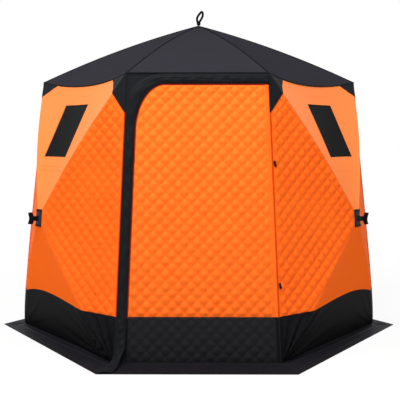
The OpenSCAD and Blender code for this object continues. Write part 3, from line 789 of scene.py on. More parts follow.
for w in HUB_WALLS:
    P, s, z = band_grid(w)
    v = np.linspace(0, 1, len(P))[:, None]
    flat = plane_coordinates(P, FEET[w], EDGES[w])
    cols = P.shape[1]
    middle = np.zeros(cols)
    middle[26:95] = 1 - np.abs(np.linspace(-1, 1, 69)) ** 4
    hold = ease(v / 0.12) * (1 - ease((v - 0.85) / 0.15))
    first, second = (0.15, 1.0) if w in SIDE_CORNERS else (1.0, 0.15)
    from_left, from_right = flat[..., 0] - flat[:, :1, 0], flat[:, -1:, 0] - flat[..., 0]
    folds = first * fan(from_left, flat[..., 1], 1.0 + w) + second * fan(from_right, flat[..., 1], 2.0 + w)
    folds = folds * ease(np.minimum(from_left, from_right) / 0.02)
    side = np.ones(cols)
    side[[0, 25, 26, 94, 95, -1]] = 0
    quilting = quilt(flat[..., 0], flat[..., 1], 0.0035) * (1 - middle) * side
    lift = (folds + quilting) * hold - panel_dent(w, s, z, flat)
    P = raised(P, lift)
    name = f"{WALL_NAMES[w]}_base_band"
    piece = make_piece(f"{name}_cloth", [cloth_arrays(P, flat, 0.005)], black_cloth,
                       node=name, crease=60)

# %% [markdown]
# ## Hub patches
# A square of black cloth closes the middle of the wall, over the hub. It is a blunt pyramid: four flat sides that
# meet at the hub, with the tip rounded off, a folded bar stitched along its top and its bottom, and a smaller
# one over the tip.

# %% Hub patches


def patch_grid(w, wide=(-1, 1), tall=(-1, 1), lift=0.0022, steps=(29, 33)):
    """From the hub's tip a point at (u, v) goes out towards the square's edge by the larger of |u| and |v|, made
    slightly round so that the tip is blunt. wide and tall pick out a part of the square."""
    j = following(w)
    c = [patch_corner(w, FEET[w]), patch_corner(w, FEET[j]), patch_corner(w, EAVES[j]), patch_corner(w, EAVES[w])]
    u, v = np.meshgrid(np.linspace(*wide, steps[0]), np.linspace(*tall, steps[1]))
    reach = np.maximum(np.maximum(np.abs(u), np.abs(v)), 1e-6)
    a, b = (u / reach + 1) / 2, (v / reach + 1) / 2
    edge = mix(mix(c[0], c[1], a), mix(c[3], c[2], a), b)
    P = mix(HUBS[w], edge, reach)
    blunt = 0.006 * np.exp(-(u ** 2 + v ** 2) / 0.10)
    P = P + OUT[w] * (lift - blunt)[..., None]
    flat = np.stack([u * 0.038, v * 0.054], axis=-1)
    return P, flat


parts = [cloth_arrays(*patch_grid(w), 0.005) for w in HUB_WALLS]
make_piece("hub_patch_cloths", parts, patch_cloth, node="hub_patches", crease=35)
strips = ((-1.0, 1.0, 0.74, 1.0), (-1.0, 1.0, -1.0, -0.74), (-0.42, 0.42, -0.30, 0.30))
parts = [cloth_arrays(*patch_grid(w, (a, b), (c, d), 0.0048, (17, 9)), 0.0025)
         for w in HUB_WALLS for a, b, c, d in strips]
make_piece("hub_patch_bars", parts, webbing_cloth, crease=35)

# %% [markdown]
# ## Pull tabs
# A strap of black webbing stands out from each hub. It is narrow where it is sewn on and fans out to a notched
# end that a gloved hand can grip.

# %% Pull tabs


def tab_grid(w):
    """Along the strap the width steps up from its neck to its grip, the end is cut in a shallow notch, and the
    upper and lower lobes curl to opposite sides."""
    a, b = np.meshgrid(np.linspace(0, 1, 44), np.linspace(-1, 1, 24))
    width = 0.014 + 0.023 * ease((a - 0.34) / 0.20) - 0.002 * ease((a - 0.6) / 0.4)
    notch = 1 - 0.16 * (1 - np.abs(b) ** 1.3) * ease((a - 0.4) / 0.6)
    curl = 0.006 * b * a ** 1.5 + 0.003 * np.sin(4 * a + b)
    P = HUBS[w] + OUT[w] * (0.002 + 0.056 * a * notch)[..., None]
    P = P + UP * (width * b + 0.004 * a * b ** 2)[..., None] + unit(level_along(w)) * (curl + 0.002)[..., None]
    return P, np.stack([a * 0.062, b * 0.03], axis=-1)


make_piece("pull_tab_straps", [cloth_arrays(*tab_grid(w), 0.004) for w in HUB_WALLS], webbing_cloth,
           node="pull_tabs")

# %% [markdown]
# ## Roof
# Six panels hang between bowed rods that meet at the peak. Each is a grid between two hips: the hips bow up, the
# cloth between them sags a little, and on the pushed-out walls its lower edge hangs in a curve. A narrow tape is
# sewn along every hip, and a small cap covers the point where they meet.

# %% Roof panels, hip tapes and cap


def hip(i, t):
    """The hip over corner i from the peak, t = 0, to the eave, t = 1: a straight line with a low arch on it."""
    t = np.asarray(t, float)
    return mix(PEAK, EAVES[i], t) + (4 * ROOF_RISE * t * (1 - t))[..., None] * UP


def roof_point(w, t, s):
    """A point of roof panel w, t down the slope and s along it. Away from the hips it sags, and towards the eave
    it takes on the eave's curve."""
    t, s = np.asarray(t, float), np.asarray(s, float)
    hang = 4 * s * (1 - s)
    towards = ((t - CROWN) / (1 - CROWN)) ** 2 if w in HUB_WALLS else 0 * t
    drop = np.array([0, 0, EAVE_DIP]) + OUT[w] * EAVE_PULL
    sag = 0.010 * hang * np.sin(np.pi * t)
    P = mix(hip(w, t), hip(following(w), t), s) - (hang * towards)[..., None] * drop
    return P - sag[..., None] * UP


for w in range(6):
    s, t = np.meshgrid(np.linspace(0, 1, 56), np.linspace(1, CROWN, 60))
    P = roof_point(w, t, s)
    width = np.linalg.norm(EAVES[following(w)] - EAVES[w])
    flat = np.stack([(s - 0.5) * t * width, t * np.linalg.norm(EAVES[w] - PEAK)], axis=-1)
    fade = np.clip(4 * s * (1 - s) * 3, 0, 1) * ease((1 - t) / 0.05)
    soft = 0.0016 * ripple_on(flat, 1.1, w) + 0.0008 * ripple_on(flat, 0.3, w + 9)
    P = raised(P, soft * fade)
    name = f"roof_panel_{WALL_NAMES[w]}"
    piece = make_piece(f"{name}_cloth", [cloth_arrays(P, flat, 0.005)], roof_cloth, node=name)

parts = []
for i in range(6):
    t = np.linspace(1, CROWN * 0.7, 60)[:, None]
    b = np.linspace(-1, 1, 9)[None, :]
    reach = 0.007 / np.maximum(t * 0.95, 0.05)
    right = roof_point(i, t + 0 * b, np.clip(b * reach, 0, 1))
    left = roof_point((i - 1) % 6, t + 0 * b, np.clip(1 + b * reach, 0, 1))
    lift = 0.0010 + 0.0022 * (1 - np.abs(b) ** 3) + 0 * t
    P = np.where((b + 0 * t)[..., None] >= 0, right, left) + UP * lift[..., None]
    flat = np.stack([b * 0.007 + 0 * t, t + 0 * b], axis=-1)
    parts.append(cloth_arrays(P, flat, 0.002))
make_piece("roof_hip_tapes", parts, hip_tape)

angle = np.linspace(0, 1, 72, endpoint=False) * 6
r = np.linspace(1, 0.0, 14)
corner, part = angle.astype(int), angle % 1
ring = np.stack([mix(hip(i, CROWN * 1.25), hip(following(i), CROWN * 1.25), p) for i, p in zip(corner, part)])
P = mix(PEAK, ring[None], r[:, None].repeat(72, 1)) + np.array([0, 0, 0.0035])
P[-1] = PEAK + np.array([0, 0, 0.0030])
make_piece("roof_crown_cap", [cloth_arrays(P, P[..., :2].copy(), 0.005, ring=True)], roof_cloth,
           node="roof_crown")

# %% [markdown]
# ## Loop on the peak
# A loop of webbing lets the hut be hung up or pulled open. The strap is a flat section carried along a closed
# path in the shape of a leaning teardrop.

# %% Peak loop


def curve_piece(a, b, c, d, t):
    """The Catmull-Rom piece that runs from b to c, with a before it and d after it."""
    return 0.5 * (2 * b + (c - a) * t + (2 * a - 5 * b + 4 * c - d) * t ** 2 + (3 * b - a - 3 * c + d) * t ** 3)


def smooth_path(points, count):
    """A closed smooth curve through points: Catmull-Rom pieces, sampled evenly in their own parameter."""
    p = np.asarray(points, float)
    k = np.arange(count) * len(p) / count
    i, t = k.astype(int), (k % 1)[:, None]
    return curve_piece(*(p[(i + o) % len(p)] for o in (-1, 0, 1, 2)), t)


def section_flat(a, rows, around, along):
    """Flat coordinates of a section that is carried along a path: by its angle, and by its row."""
    return np.stack(np.meshgrid(a * around, np.arange(rows) * along), axis=-1).reshape(-1, 2)


def circles(path, radius, side, across, a):
    """A circle of changing radius round each point of a path, in the plane of side and across."""
    turned = np.cos(a)[:, None] * side + np.sin(a)[:, None] * across
    return path[:, None] + radius[:, None, None] * turned


def tube_arrays(path, side, half_wide, half_thick, around=16):
    """A rounded flat section carried round a closed path: half_wide along side, half_thick across it."""
    ahead = unit(np.roll(path, -1, axis=0) - np.roll(path, 1, axis=0))
    across = unit(np.cross(ahead, side))
    a = np.arange(around) * 2 * math.pi / around
    cx, cy = np.cos(a), np.sin(a)
    cx, cy = np.sign(cx) * np.abs(cx) ** 0.6, np.sign(cy) * np.abs(cy) ** 0.6
    P = path[:, None] + side * (cx * half_wide)[None, :, None] + across[:, None] * (cy * half_thick)[None, :, None]
    ids = closed(np.arange(len(path) * around).reshape(-1, around))
    return P.reshape(-1, 3), grid_quads(np.concatenate([ids, ids[:1]])), section_flat(a, len(path), 0.004, 0.002)


LOOP = np.array([[0, 12], [-6, 24], [-10, 38], [-9, 53], [-1, 69], [10, 83], [20, 92], [26, 90], [29, 80], [28, 66],
                 [22, 51], [13, 36], [5, 23]]) / 1000      # to the right of the peak and above it
path = np.stack([LOOP[:, 0], 0 * LOOP[:, 0], LOOP[:, 1] + PEAK_H + 0.002], axis=1)
lean = unit(np.array([0.1, 0, 1.0]))
a = np.linspace(0, 1, 24)
knot_path = PEAK + np.array([0, 0, 0.004]) + lean * 0.030 * a[:, None]
knot_size = 0.0045 + 0.0090 * np.sin(math.pi * a ** 0.7) + 0.0006 * np.sin(a * 50)
b = np.arange(24) * 2 * math.pi / 24
inwards = np.array([0, 1.0, 0])
P = circles(knot_path, knot_size, np.cross(lean, inwards), inwards, b)
P[0], P[-1] = knot_path[0], knot_path[-1]
knot_uv = np.stack([b[None] * 0.008 + 0 * a[:, None], a[:, None] * 0.03 + 0 * b[None]], axis=-1)
make_piece("peak_loop_strap", [tube_arrays(smooth_path(path, 120), inwards, 0.0068, 0.0074),
                               cloth_arrays(P[:, ::-1], knot_uv, 0.0030, ring=True)],
           webbing_cloth, node="peak_loop")

# %% [markdown]
# ## Corner gussets
# Where a pushed-out wall meets the roof a black patch is sewn over the corner, half on the window panel and half
# on the quilted side. Both halves are fans that spread from the corner, so no edge of one shows a step.

# %% Corner gussets
GUSSET_SHARE = 1 / 6


def gusset_parts(w, i):
    """Upper half: from the corner along the eave and along the seam. Lower half: along the seam and the post."""
    first = i == w
    reach = gusset_reach(i)
    length = np.linalg.norm(HUBS[w] - EAVES[i])
    u, v = across_up(26)
    s = u * v * GUSSET_SHARE
    q = 1 - (1 - u) * v * reach / length
    s = s if first else 1 - s
    upper = mix(HUBS[w], eave_point(w, s), q) - OUT[w] * panel_hollow(w, s, q)[..., None]
    on_seam, on_post = seam(w, i, EAVE_H - v * gusset_drop(w, i)), post(i, EAVE_H - v * GUSSET_POST)
    lower = mix(on_seam, on_post, u)
    out = []
    for P, turned in ((upper, first), (lower, not first)):
        P = P if turned else P[:, ::-1]
        flat = plane_coordinates(P, post(i, 1.3), EDGES[w])
        soft = 0.0022 + 0.0012 * ripple_on(flat, 0.12, w + i) * ease(v * (1 - v) * 6)
        P = P[::-1]
        P = P + OUT[w] * (soft + 0.0012)[::-1][..., None]
        out.append(cloth_arrays(P, flat[::-1], 0.0025))
    return out


parts = [part for w in HUB_WALLS for i in (w, following(w)) for part in gusset_parts(w, i)]
make_piece("corner_gusset_cloths", parts, gusset_cloth, node="corner_gussets")

# %% [markdown]
# ## Flat walls
# The door wall and the back wall lean back but are flat. They are worked out in their own plane: x to the right,
# y up the slope and h outwards, with one function that carries such a point into the hut.

# %% Plane of a flat wall and the back wall
LEAN = math.atan(END_LEAN / (EAVE_H - BASE_Z))
SLOPE = math.hypot(EAVE_H - BASE_Z, END_LEAN)
BASE_Y = (BASE_H - BASE_Z) / math.cos(LEAN)


def post_x(y):
    """Distance from the middle of a flat wall to its corner, y up the slope."""
    return DOOR_WALL_W / 2 - DOOR_LEAN * y / SLOPE


def on_flat_wall(x, y, h, back=False):
    """The point x to the right, y up the slope and h out of a flat wall."""
    P = np.stack([x + 0 * y + 0 * h, -HUT_D / 2 + y * math.sin(LEAN) - h * math.cos(LEAN) + 0 * x,
                  BASE_Z + y * math.cos(LEAN) + h * math.sin(LEAN) + 0 * x], axis=-1)
    return P * np.array([-1, -1, 1]) if back else P


HEAD_Y = (EAVE_H - 0.064 - BASE_Z) / math.cos(LEAN)


def back_sheet(low, high, height, rows, cols):
    """The back wall between two heights up the slope, quilted, held down along its edges."""
    u, y = np.meshgrid(np.linspace(-1, 1, cols), np.linspace(low, high, rows))
    x = u * post_x(y)
    edge = np.minimum((1 - np.abs(u)) * post_x(y), np.minimum(y - low, high - y) + 0.004)
    h = quilt(x, y, height) * ease(edge / 0.02) + 0.002 * ripple(x, y, 0.9, 7) * ease(edge / 0.05)
    return cloth_arrays(on_flat_wall(x, y, h, back=True), np.stack([x, y], axis=-1), 0.006)


back_panel = make_piece("back_wall_panel_cloth", [back_sheet(BASE_Y, HEAD_Y, 0.0065, 140, 92)], quilted_orange,
                        node="back_wall_panel")
back_base = make_piece("back_wall_base_cloth", [back_sheet(0, BASE_Y, 0.004, 30, 92)], black_quilt,
                       node="back_wall_base")
make_piece("back_wall_head_cloth", [back_sheet(HEAD_Y, SLOPE, 0.0, 8, 60)], gusset_cloth,
           node="back_wall_head")

# %% [markdown]
# ## Door surround and storm flap
# The doorway has one rounded corner, at the top of its zipped side. The cloth round it and the flap that covers
# the zip are both bands: a parameter runs along the opening, up the jamb, round the corner and across the top,
# and a second one runs across the band. The flap is slightly puffed, with a stitched edge on each side, and its
# foot turns out over the skirt.

# %% Bands round the doorway
FLAP_W, HEAD_W, CORNER_RX, CORNER_RY = 0.062, 0.064, 0.176, 0.290
OPENING_TOP = SLOPE - HEAD_W
JAMB_TOP = OPENING_TOP - CORNER_RY
CORNER_X = -post_x(JAMB_TOP) + FLAP_W + CORNER_RX
HINGE_INSET = 0.014


def run_length(line):
    """How far each point of a line is from its start, measured along it."""
    return np.concatenate([[0], np.cumsum(np.linalg.norm(np.diff(line, axis=0), axis=1))])


def resample(line, count):
    """The same line with count points, equally far apart along it."""
    line = np.asarray(line, float)
    along = run_length(line)
    at = np.linspace(0, along[-1], count)
    return np.stack([np.interp(at, along, line[:, k]) for k in range(line.shape[1])], axis=1)


def quarter(cx, cy, rx, ry, count):
    """A quarter of an ellipse from its left end up to its top."""
    a = np.linspace(math.pi, math.pi / 2, count)
    return np.stack([cx + rx * np.cos(a), cy + ry * np.sin(a)], axis=1)


def jamb_line(inset, low, high, count):
    """A line up the zipped side, inset from the corner post."""
    y = np.linspace(low, high, count)
    return np.stack([-post_x(y) + inset, y], axis=1)


def band_lines(outer_inset, outer_top, outer_rx, outer_ry, inner_gap, low):
    """Inner and outer edge of a band round the doorway, matched point for point: jamb, corner, head."""
    inner_top, right = OPENING_TOP + inner_gap, post_x(OPENING_TOP) - 0.003
    inner = [jamb_line(FLAP_W - inner_gap, low, JAMB_TOP, 120),
             quarter(CORNER_X, JAMB_TOP, CORNER_RX + inner_gap, CORNER_RY + inner_gap, 60),
             np.stack([np.linspace(CORNER_X, right, 60), np.full(60, inner_top)], axis=1)]
    if outer_rx:
        start = outer_top - outer_ry
        bend = np.concatenate([jamb_line(outer_inset, JAMB_TOP, start, 40),
                               quarter(-post_x(start) + outer_inset + outer_rx, start, outer_rx, outer_ry, 80),
                               [[CORNER_X, outer_top]]])
    else:
        bend = np.concatenate([jamb_line(outer_inset, JAMB_TOP, outer_top, 60), [[CORNER_X, outer_top]]])
    outer = [jamb_line(outer_inset, low, JAMB_TOP, 120), resample(bend, 60),
             np.stack([np.linspace(CORNER_X, right, 60), np.full(60, outer_top)], axis=1)]
    inner, outer = (np.concatenate([p[0], p[1][1:], p[2][1:]]) for p in (inner, outer))
    return inner, outer


def band_grid_between(inner, outer, rows):
    """A grid from one line to another, and how far across it each point lies."""
    b = np.linspace(0, 1, rows)[:, None].repeat(len(inner), 1)
    return mix(inner[None], outer[None], b), b


xy = band_grid_between(*band_lines(0.0005, SLOPE, 0, 0, 0.0, 0.0), 12)[0]
P = on_flat_wall(xy[..., 0], xy[..., 1], 0.0008 * ripple_on(xy, 0.3, 2))
make_piece("door_surround_cloth", [cloth_arrays(P, xy, 0.006)], gusset_cloth,
           node=["door_jamb", "door_head"])

# %% Storm flap


def flap_height(b, along):
    """Height of the flap above the wall: a low dome with a flat stitched edge and slow waves along it."""
    dome = 0.0115 * (1 - np.abs(2 * b - 1) ** 2.6)
    wave = 0.0024 * np.sin(along * 19 + 1.3) + 0.0018 * np.sin(along * 47 + 5 * b)
    wave = wave + 0.0014 * np.sin(along * 83 - 7 * b)
    wave = wave + 0.0026 * np.sin(along * 140 + 4 * b) * np.exp(-((along - 0.33) / 0.12) ** 2)
    wave = wave + 0.0016 * np.sin(26 * b + 2 * np.sin(along * 9)) * ease((along - 1.5) / 0.3)
    dome = dome * (0.3 + 0.7 * ease(along / 0.2))
    loose = 0.013 * (1 - b) ** 2 * np.exp(-((along - 0.24) / 0.11) ** 2)
    stitches = 0.0016 * np.exp(-((np.abs(2 * b - 1) - 0.84) / 0.07) ** 2)
    return 0.0032 + loose + dome + wave * np.sin(math.pi * b) - stitches


TAIL_STEPS = 40
inner, outer = band_lines(0.002, SLOPE - 0.004, 0.228, 0.185, 0.0, 0.14)
flap_inner = on_flat_wall(inner[:, 0], inner[:, 1], 0 * inner[:, 0])
flap_outer = on_flat_wall(outer[:, 0], outer[:, 1], 0 * outer[:, 0])


def bend_through(points, count):
    """A smooth open line through points: each pair is joined by a Catmull-Rom piece, then evened out."""
    p = np.asarray(points, float)
    p = np.concatenate([[2 * p[0] - p[1]], p, [2 * p[-1] - p[-2]]])
    t = np.linspace(0, 1, 24)[:, None]
    return resample(np.concatenate([curve_piece(*four, t) for four in zip(p, p[1:], p[2:], p[3:])]), count)


tail_outer = bend_through([[-0.5535, -1.244, 0.0045], [-0.515, -1.135, 0.010], [-0.492, -1.066, 0.020],
                           [-0.480, -1.040, 0.055], flap_outer[0]], TAIL_STEPS)
tail_inner = bend_through([[-0.468, -1.246, 0.0065], [-0.448, -1.175, 0.014], [-0.438, -1.108, 0.026],
                           [-0.427, -1.062, 0.050], [-0.413, -1.040, 0.092], flap_inner[0]], TAIL_STEPS)
edge_in = np.concatenate([tail_inner[:-1], flap_inner])
edge_out = np.concatenate([tail_outer[:-1], flap_outer])
P, b = band_grid_between(edge_in, edge_out, 15)
along = run_length(edge_in)[None].repeat(15, 0)
P = raised(P, flap_height(b, along))
flat = np.stack([along, b * FLAP_W], axis=-1)
flap = make_piece("storm_flap_cloth", [cloth_arrays(P, flat, 0.0025)], flap_cloth,
                  node="storm_flap")

# %% Wind strip behind the zip
xy = band_grid_between(*band_lines(0.040, OPENING_TOP + 0.016, 0.20, 0.29, -0.016, 0.004), 6)[0]
P = on_flat_wall(xy[..., 0], xy[..., 1], -0.0095 + 0 * xy[..., 0])
make_piece("zip_wind_strip", [cloth_arrays(P, xy, 0.002)], gusset_cloth)

# %% [markdown]
# ## Piping and binding
# Two walls meet in a seam along each corner post, and a folded binding closes the edge between wall and roof. Both
# are thin rolls of cloth, made by carrying a circle along the line, and both hide the raw edges of the sheets.

# %% Piping along the posts and binding along the eaves


def roll_arrays(path, radius, around=10):
    """A circle carried along an open path, with its two ends drawn to a point."""
    path = np.concatenate([path[:1], path, path[-1:]])
    ahead = np.gradient(path[1:-1], axis=0)
    ahead = unit(np.concatenate([ahead[:1], ahead, ahead[-1:]]))
    upright = abs(ahead[:, 2]).mean() >= 0.7
    side = unit(np.cross(ahead, np.array([1.0, 0.3, 0] if upright else [0.31, 0.42, 0.85])))
    r = np.full(len(path), radius)
    r[0] = r[-1] = 0
    a = np.arange(around) * 2 * math.pi / around
    P = circles(path, r, side[:, None], np.cross(ahead, side)[:, None], a)
    quads = grid_quads(closed(np.arange(len(path) * around).reshape(-1, around)))
    return P.reshape(-1, 3), quads, section_flat(a, len(path), radius, 0.01)


orange_rolls, black_rolls = [], []
for i in range(6):
    outer_side = unit(OUT[i] + OUT[(i - 1) % 6]) * 0.0010
    for rolls, low, high, count, radius in (
            (orange_rolls, BASE_H, EAVE_H - GUSSET_POST, 90, 0.0036),
            (black_rolls, BASE_Z + 0.008, BASE_H, 24, 0.0040),
            (black_rolls, EAVE_H - GUSSET_POST, EAVE_H - 0.003, 20, 0.0042)):
        rolls.append(roll_arrays(post(i, np.linspace(low, high, count)) + outer_side, radius))
for w in range(6):
    black_rolls.append(roll_arrays(eave_point(w, np.linspace(0, 1, 60)) + OUT[w] * 0.0015, 0.0048))
make_piece("post_piping", orange_rolls, piping_orange)
make_piece("eave_binding", black_rolls, gusset_cloth)

# %% [markdown]
# ## Door
# The door is one quilted leaf with a black foot. Its rows are closer together near the top, where the rounded
# corner turns fastest, so the corner stays smooth. A thin dark red strip along its open side is painted shadow,
# where the flap and the cloth round the doorway overhang the orange; over the black foot the strip is black.

# %% Door leaf
DOOR_GAP, LEAF_LOW, STRIP = 0.005, 0.006, 0.006
HINGE_FLAT = 0.024          # the quilting fades over this width beside the hinge, so that the open leaf is clear
LEAF_TOP = OPENING_TOP - DOOR_GAP


def leaf_left(y, gap=DOOR_GAP):
    """Left edge of the leaf at y: up the jamb, then round the quarter ellipse."""
    rise = np.clip((y - JAMB_TOP) / (CORNER_RY - gap), 0, 1)
    turn = (CORNER_RX - gap) * (1 - np.sqrt(1 - rise ** 2))
    straight = -post_x(np.minimum(y, JAMB_TOP)) + FLAP_W + gap
    return straight + turn


def hinge_x(y):
    """The line that the door swings on."""
    return post_x(y) - HINGE_INSET


def leaf_rows(low, high, cell):
    """Heights of the leaf's rows: even up the jamb, and eased together towards the top."""
    if high <= JAMB_TOP:
        return np.linspace(low, high, int((high - low) / cell))
    a = np.linspace(0, math.pi / 2, 46)
    return np.concatenate([np.linspace(low, JAMB_TOP, int((JAMB_TOP - low) / cell)),
                           (JAMB_TOP + (LEAF_TOP - JAMB_TOP) * np.sin(a))[1:]])


def leaf_sheet(low, high, height, cell=0.0078):
    """The leaf between two heights: quilting and a soft unevenness, held down along its edges and flat towards
    the hinge."""
    y = leaf_rows(low, high, cell)
    u = np.linspace(0, 1, 112)
    left, right = leaf_left(y), hinge_x(y) - STRIP
    x = left[:, None] + (right - left)[:, None] * u[None]
    y = y[:, None] + 0 * x
    edge = np.minimum(np.minimum(x - left[:, None], np.abs(y - BASE_Y) + 0.001),
                      np.minimum(LEAF_TOP - y, y - LEAF_LOW + 0.002))
    h = quilt(x, y, height) * ease(edge / 0.018) + 0.0022 * ripple(x, y, 1.0, 4) * ease(edge / 0.05)
    h = h * ease((right[:, None] - x) / HINGE_FLAT) - 0.0004
    return cloth_arrays(on_flat_wall(x, y, h), np.stack([x, y], axis=-1), 0.006)


door = make_piece("door_panel_cloth", [leaf_sheet(BASE_Y, LEAF_TOP, 0.0130)], door_orange, body="door",
                  node="door_panel")
door_foot = make_piece("door_base_cloth", [leaf_sheet(LEAF_LOW, BASE_Y, 0.0045)], black_quilt, body="door",
                       node="door_base")

# %% Painted shadow strip along the door's open edge


def edge_shadow_line(gap):
    """The leaf's open edge, moved out by gap: up the jamb, round the corner and along the top."""
    y = np.concatenate([np.linspace(LEAF_LOW, JAMB_TOP, 120),
                        JAMB_TOP + (CORNER_RY - DOOR_GAP + gap) * np.sin(np.linspace(0, math.pi / 2, 50))[1:]])
    x = leaf_left(y, DOOR_GAP - gap)
    run = np.linspace(x[-1], hinge_x(LEAF_TOP) - STRIP, 40)[1:]
    return np.stack([np.concatenate([x, run]), np.concatenate([y, np.full(len(run), y[-1])])], axis=1)


inner, outer = edge_shadow_line(-0.003), edge_shadow_line(0.0040)
xy, b = band_grid_between(inner, outer, 5)
P = on_flat_wall(xy[..., 0], xy[..., 1], 0.0006 + 0.0008 * np.sin(math.pi * b))
foot = int(np.searchsorted(inner[:, 1], BASE_Y))
# Painted shadow: a thin strip along the open edge, dark red over the orange leaf and black over its foot.
for name, part, material in (("door_edge_shadow", slice(foot - 1, None), edge_shadow_red),
                             ("door_edge_shadow_foot", slice(0, foot), webbing_cloth)):
    make_piece(name, [cloth_arrays(P[:, part], xy[:, part], 0.003)], material, body="door")

# %% [markdown]
# ## The strip at the hinge
# Cloth doesn't have a hinge: it folds. A strip runs from the corner post to the door's edge, lying in the wall
# with a shallow fold next to the post.

# %% Hinge strips


def strip_sheet(low, high):
    """From the door's edge to the corner post, with a shallow fold next to the post."""
    y = np.linspace(low, high, max(12, int((high - low) / 0.02)))[:, None]
    u = np.linspace(0, 1, 17)[None]
    x = hinge_x(y) - STRIP - 0.001 + (HINGE_INSET + STRIP + 0.0005) * u
    h = 0.0012 * np.sin(math.pi * u) - 0.0030 * np.exp(-((u - 0.93) / 0.06) ** 2) + 0 * y
    return cloth_arrays(on_flat_wall(x, y + 0 * x, h), np.stack([x, y + 0 * x], axis=-1), 0.003)


hinge_low = on_flat_wall(hinge_x(0.0), np.array(0.0), np.array(-FABRIC / 2))
hinge_high = on_flat_wall(hinge_x(SLOPE), np.array(SLOPE), np.array(-FABRIC / 2))
swing_axis = unit(hinge_high - hinge_low)
zero, one = np.array(0.0), np.array(1.0)
wall_normal = unit(on_flat_wall(0.0, zero, one) - on_flat_wall(0.0, zero, zero))
to_post = unit(np.cross(swing_axis, wall_normal))
to_post = to_post if to_post[0] > 0 else -to_post
for name, low, high, material in (("door_hinge_strip", BASE_Y, LEAF_TOP, strip_orange),
                                  ("door_hinge_strip_foot", LEAF_LOW, BASE_Y, black_cloth)):
    strip = make_piece(name, [strip_sheet(low, high)], material, body=None,
                       node="door_hem" if material is strip_orange else ())
    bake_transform(strip)

# %% [markdown]
# ## Toggles
# The rolled-up door is held by two toggles on the wall beside it: a small waisted barrel on a loop of cord.

# %% Toggles
TOGGLE_LEVELS = (0.447, 1.146)
TOGGLE_BESIDE, TOGGLE_OUT, TOGGLE_HALF = 0.0085, 0.012, 0.017     # from the post, off the wall, half its length

parts = []
beside = unit(EDGES[0])
for z in TOGGLE_LEVELS:
    foot = post(0, np.array(z)) + beside * TOGGLE_BESIDE + OUT[0] * TOGGLE_OUT
    a = np.linspace(-1, 1, 26)
    barrel = foot + UP * (TOGGLE_HALF * a)[:, None] + beside * (0.003 * a ** 2 - 0.007 * a)[:, None]
    v, q, f = roll_arrays(barrel, 1.0, 16)
    waisted = 0.0074 - 0.0046 * np.exp(-(a / 0.30) ** 2) - 0.0030 * np.abs(a) ** 6
    width = np.repeat(np.concatenate([[0], waisted, [0]]), 16)
    centre = np.repeat(np.concatenate([barrel[:1], barrel, barrel[-1:]]), 16, axis=0)
    parts.append((centre + (v - centre) * width[:, None], q, f))
    turn = np.linspace(-0.5 * math.pi, 1.5 * math.pi, 30)
    cord = foot + OUT[0] * (0.006 * np.cos(turn) - 0.004)[:, None]
    parts.append(roll_arrays(cord + beside * (0.011 * np.sin(turn) + 0.004)[:, None], 0.0018, 8))
make_piece("door_toggle_barrels", parts, toggle_plastic, node="door_toggles")

# %% [markdown]
# ## Skirt
# A flap of cloth lies on the snow all round, to be weighed down. It is one ring: along the ground plan, and from
# its outer edge inwards to under the walls. It rises to the walls' foot, has a tuck beside them, a stitched hem
# round the outside and a fold at each corner.

# %% Skirt


def skirt_grid():
    """Round the plan by side and part of a side, and from the hem (b = 1) in to the wall (b = 0) and under it."""
    steps = (96, 96, 60, 96, 96, 60)
    ground, edge = outline(FEET, steps), outline(SKIRT, steps)
    part = np.concatenate([np.arange(c) / c for c in steps])
    side = np.concatenate([np.full(c, np.linalg.norm(EDGES[e])) for e, c in enumerate(steps)])
    fold = np.minimum(part, 1 - part) * side
    b = np.concatenate([np.linspace(1, 0.9, 7), np.linspace(0.88, 0.30, 16), np.linspace(0.27, 0, 14),
                        np.linspace(-0.04, -0.30, 6)])[:, None]
    P = mix(ground[None], edge[None], b + 0 * part[None])
    reach = np.linalg.norm((edge - ground)[:, :2], axis=1)[None]
    d = b * reach
    rise = 0.008 * np.exp(-np.abs(d) / 0.014) * (d > -0.03)
    tuck = 0.0045 * np.exp(-((d - 0.045) / 0.010) ** 2)
    stitch = (d - reach + 0.030) / 0.004
    hem = 0.0014 * (ease(stitch) - 0.8 * np.exp(-stitch ** 2))
    crease = 0.0075 * np.exp(-(fold[None] / 0.012) ** 2) * ease((d - 0.01) / 0.04) * (1 - ease((b - 0.5) / 0.5))
    wave = 0.0022 * (1 + ripple(P[..., 0], P[..., 1], 0.5, 6)) * ease(b / 0.4) * (1 - ease((b - 0.7) / 0.25))
    P[..., 2] = 0.0036 + rise + tuck + hem + crease + wave
    return P


P = skirt_grid()
flat = P[..., :2].copy()
skirt = make_piece("snow_skirt_cloth", [cloth_arrays(P, flat, 0.0030, ring=True)], skirt_cloth,
                   node="snow_skirt", crease=60)

# %% [markdown]
# ## Floor, light and camera
# A plain studio: a pale floor that keeps a little of the hut's shadow, a white surround, a broad soft lamp above
# and in front, a weaker one at each side, and two behind. The lamps are set so that a colour shows about as it
# is written.

# %% Studio
LAMP_AIM = (0, 0, 0.9)      # the middle of the hut
LAMPS = (("front lamp", (-0.9, -4.8, 5.7), 1.8, 315),       # name, place, size and power
         ("left lamp", (-3.2, -2.6, 5.9), 2.0, 135),
         ("right lamp", (3.4, -2.4, 5.8), 2.0, 92),
         ("back left lamp", (-4.6, 4.2, 4.0), 2.4, 110),
         ("back right lamp", (4.6, 4.2, 4.0), 2.4, 90))
SURROUND = 0.30             # strength of the light from all round
CAMERA_FAR, CAMERA_HIGH, CAMERA_TURN, CAMERA_TILT = 5.829, 1.297, 0.006, 0.066


def plain_sight(n):
    """1 for the rays that reach the camera straight, off a glossy surface or through a clear one, 0 for others."""
    path = n.add("ShaderNodeLightPath").outputs
    straight = n.math("MAXIMUM", path["Is Camera Ray"], path["Is Glossy Ray"])
    return n.math("MAXIMUM", straight, path["Is Transmission Ray"])


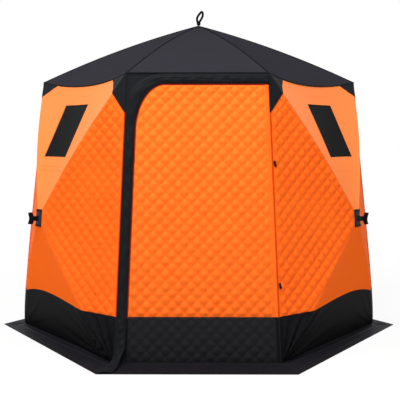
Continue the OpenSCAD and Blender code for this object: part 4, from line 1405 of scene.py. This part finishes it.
def stage_floor():
    """A large pale plane. In plain sight it is nine tenths glowing white, and wholly white from 4.2 m outwards,
    so that the hut's shadow stays faint. To every other ray it is a pale matt floor."""
    mesh = bpy.data.meshes.new("floor")
    mesh.from_pydata([(-30, -30, 0), (30, -30, 0), (30, 30, 0), (-30, 30, 0)], [], [(0, 1, 2, 3)])
    n = Nodes("pale floor")
    plain = n.add("ShaderNodeBsdfDiffuse", Color=(0.85, 0.85, 0.85, 1))
    white = n.add("ShaderNodeEmission", Color=(1, 1, 1, 1), Strength=1.0)
    away = n.add("ShaderNodeVectorMath", operation="LENGTH")
    n.put(away.inputs[0], n.add("ShaderNodeTexCoord").outputs["Object"])
    past = n.math("MAXIMUM", n.minus(away.outputs["Value"], 2.2), 0.0)
    far = n.math("MINIMUM", n.times(past, 0.05), 0.1)
    n.show_either(n.times(plain_sight(n), n.plus(far, 0.90)), plain, white)
    mesh.materials.append(n.owner)
    floor = bpy.data.objects.new("floor", mesh)
    bpy.context.scene.collection.objects.link(floor)


def studio_world(strength):
    """White in plain sight, and a plain grey light of the given strength for every other ray."""
    n = Nodes("studio", world=True)
    light = n.add("ShaderNodeBackground", Strength=strength, Color=(1, 1, 1, 1))
    white = n.add("ShaderNodeBackground", Strength=1.0, Color=(1, 1, 1, 1))
    n.show_either(plain_sight(n), light, white)
    bpy.context.scene.world = n.owner


def lamp(name, place, size, power):
    """A square soft lamp that faces the middle of the hut."""
    data = bpy.data.lights.new(name, "AREA")
    data.size, data.energy = size, power
    light = bpy.data.objects.new(name, data)
    light.location = place
    aim = np.array(LAMP_AIM) - np.array(place)
    light.rotation_euler = (math.atan2(math.hypot(aim[0], aim[1]), -aim[2]), 0, math.atan2(-aim[0], aim[1]))
    bpy.context.scene.collection.objects.link(light)


stage_floor()
studio_world(SURROUND)
for row in LAMPS:
    lamp(*row)

camera_data = bpy.data.cameras.new("camera")
camera_data.sensor_width = 36
camera_data.lens = 76.54
camera_data.shift_x = 0.00375
camera_data.shift_y = -0.0159
camera = bpy.data.objects.new("camera", camera_data)
camera.location = (CAMERA_FAR * math.sin(CAMERA_TURN), -CAMERA_FAR * math.cos(CAMERA_TURN), CAMERA_HIGH)
camera.rotation_euler = (math.pi / 2 - CAMERA_TILT, 0, CAMERA_TURN)
bpy.context.scene.collection.objects.link(camera)
bpy.context.scene.camera = camera
bpy.context.scene.view_settings.view_transform = "Standard"
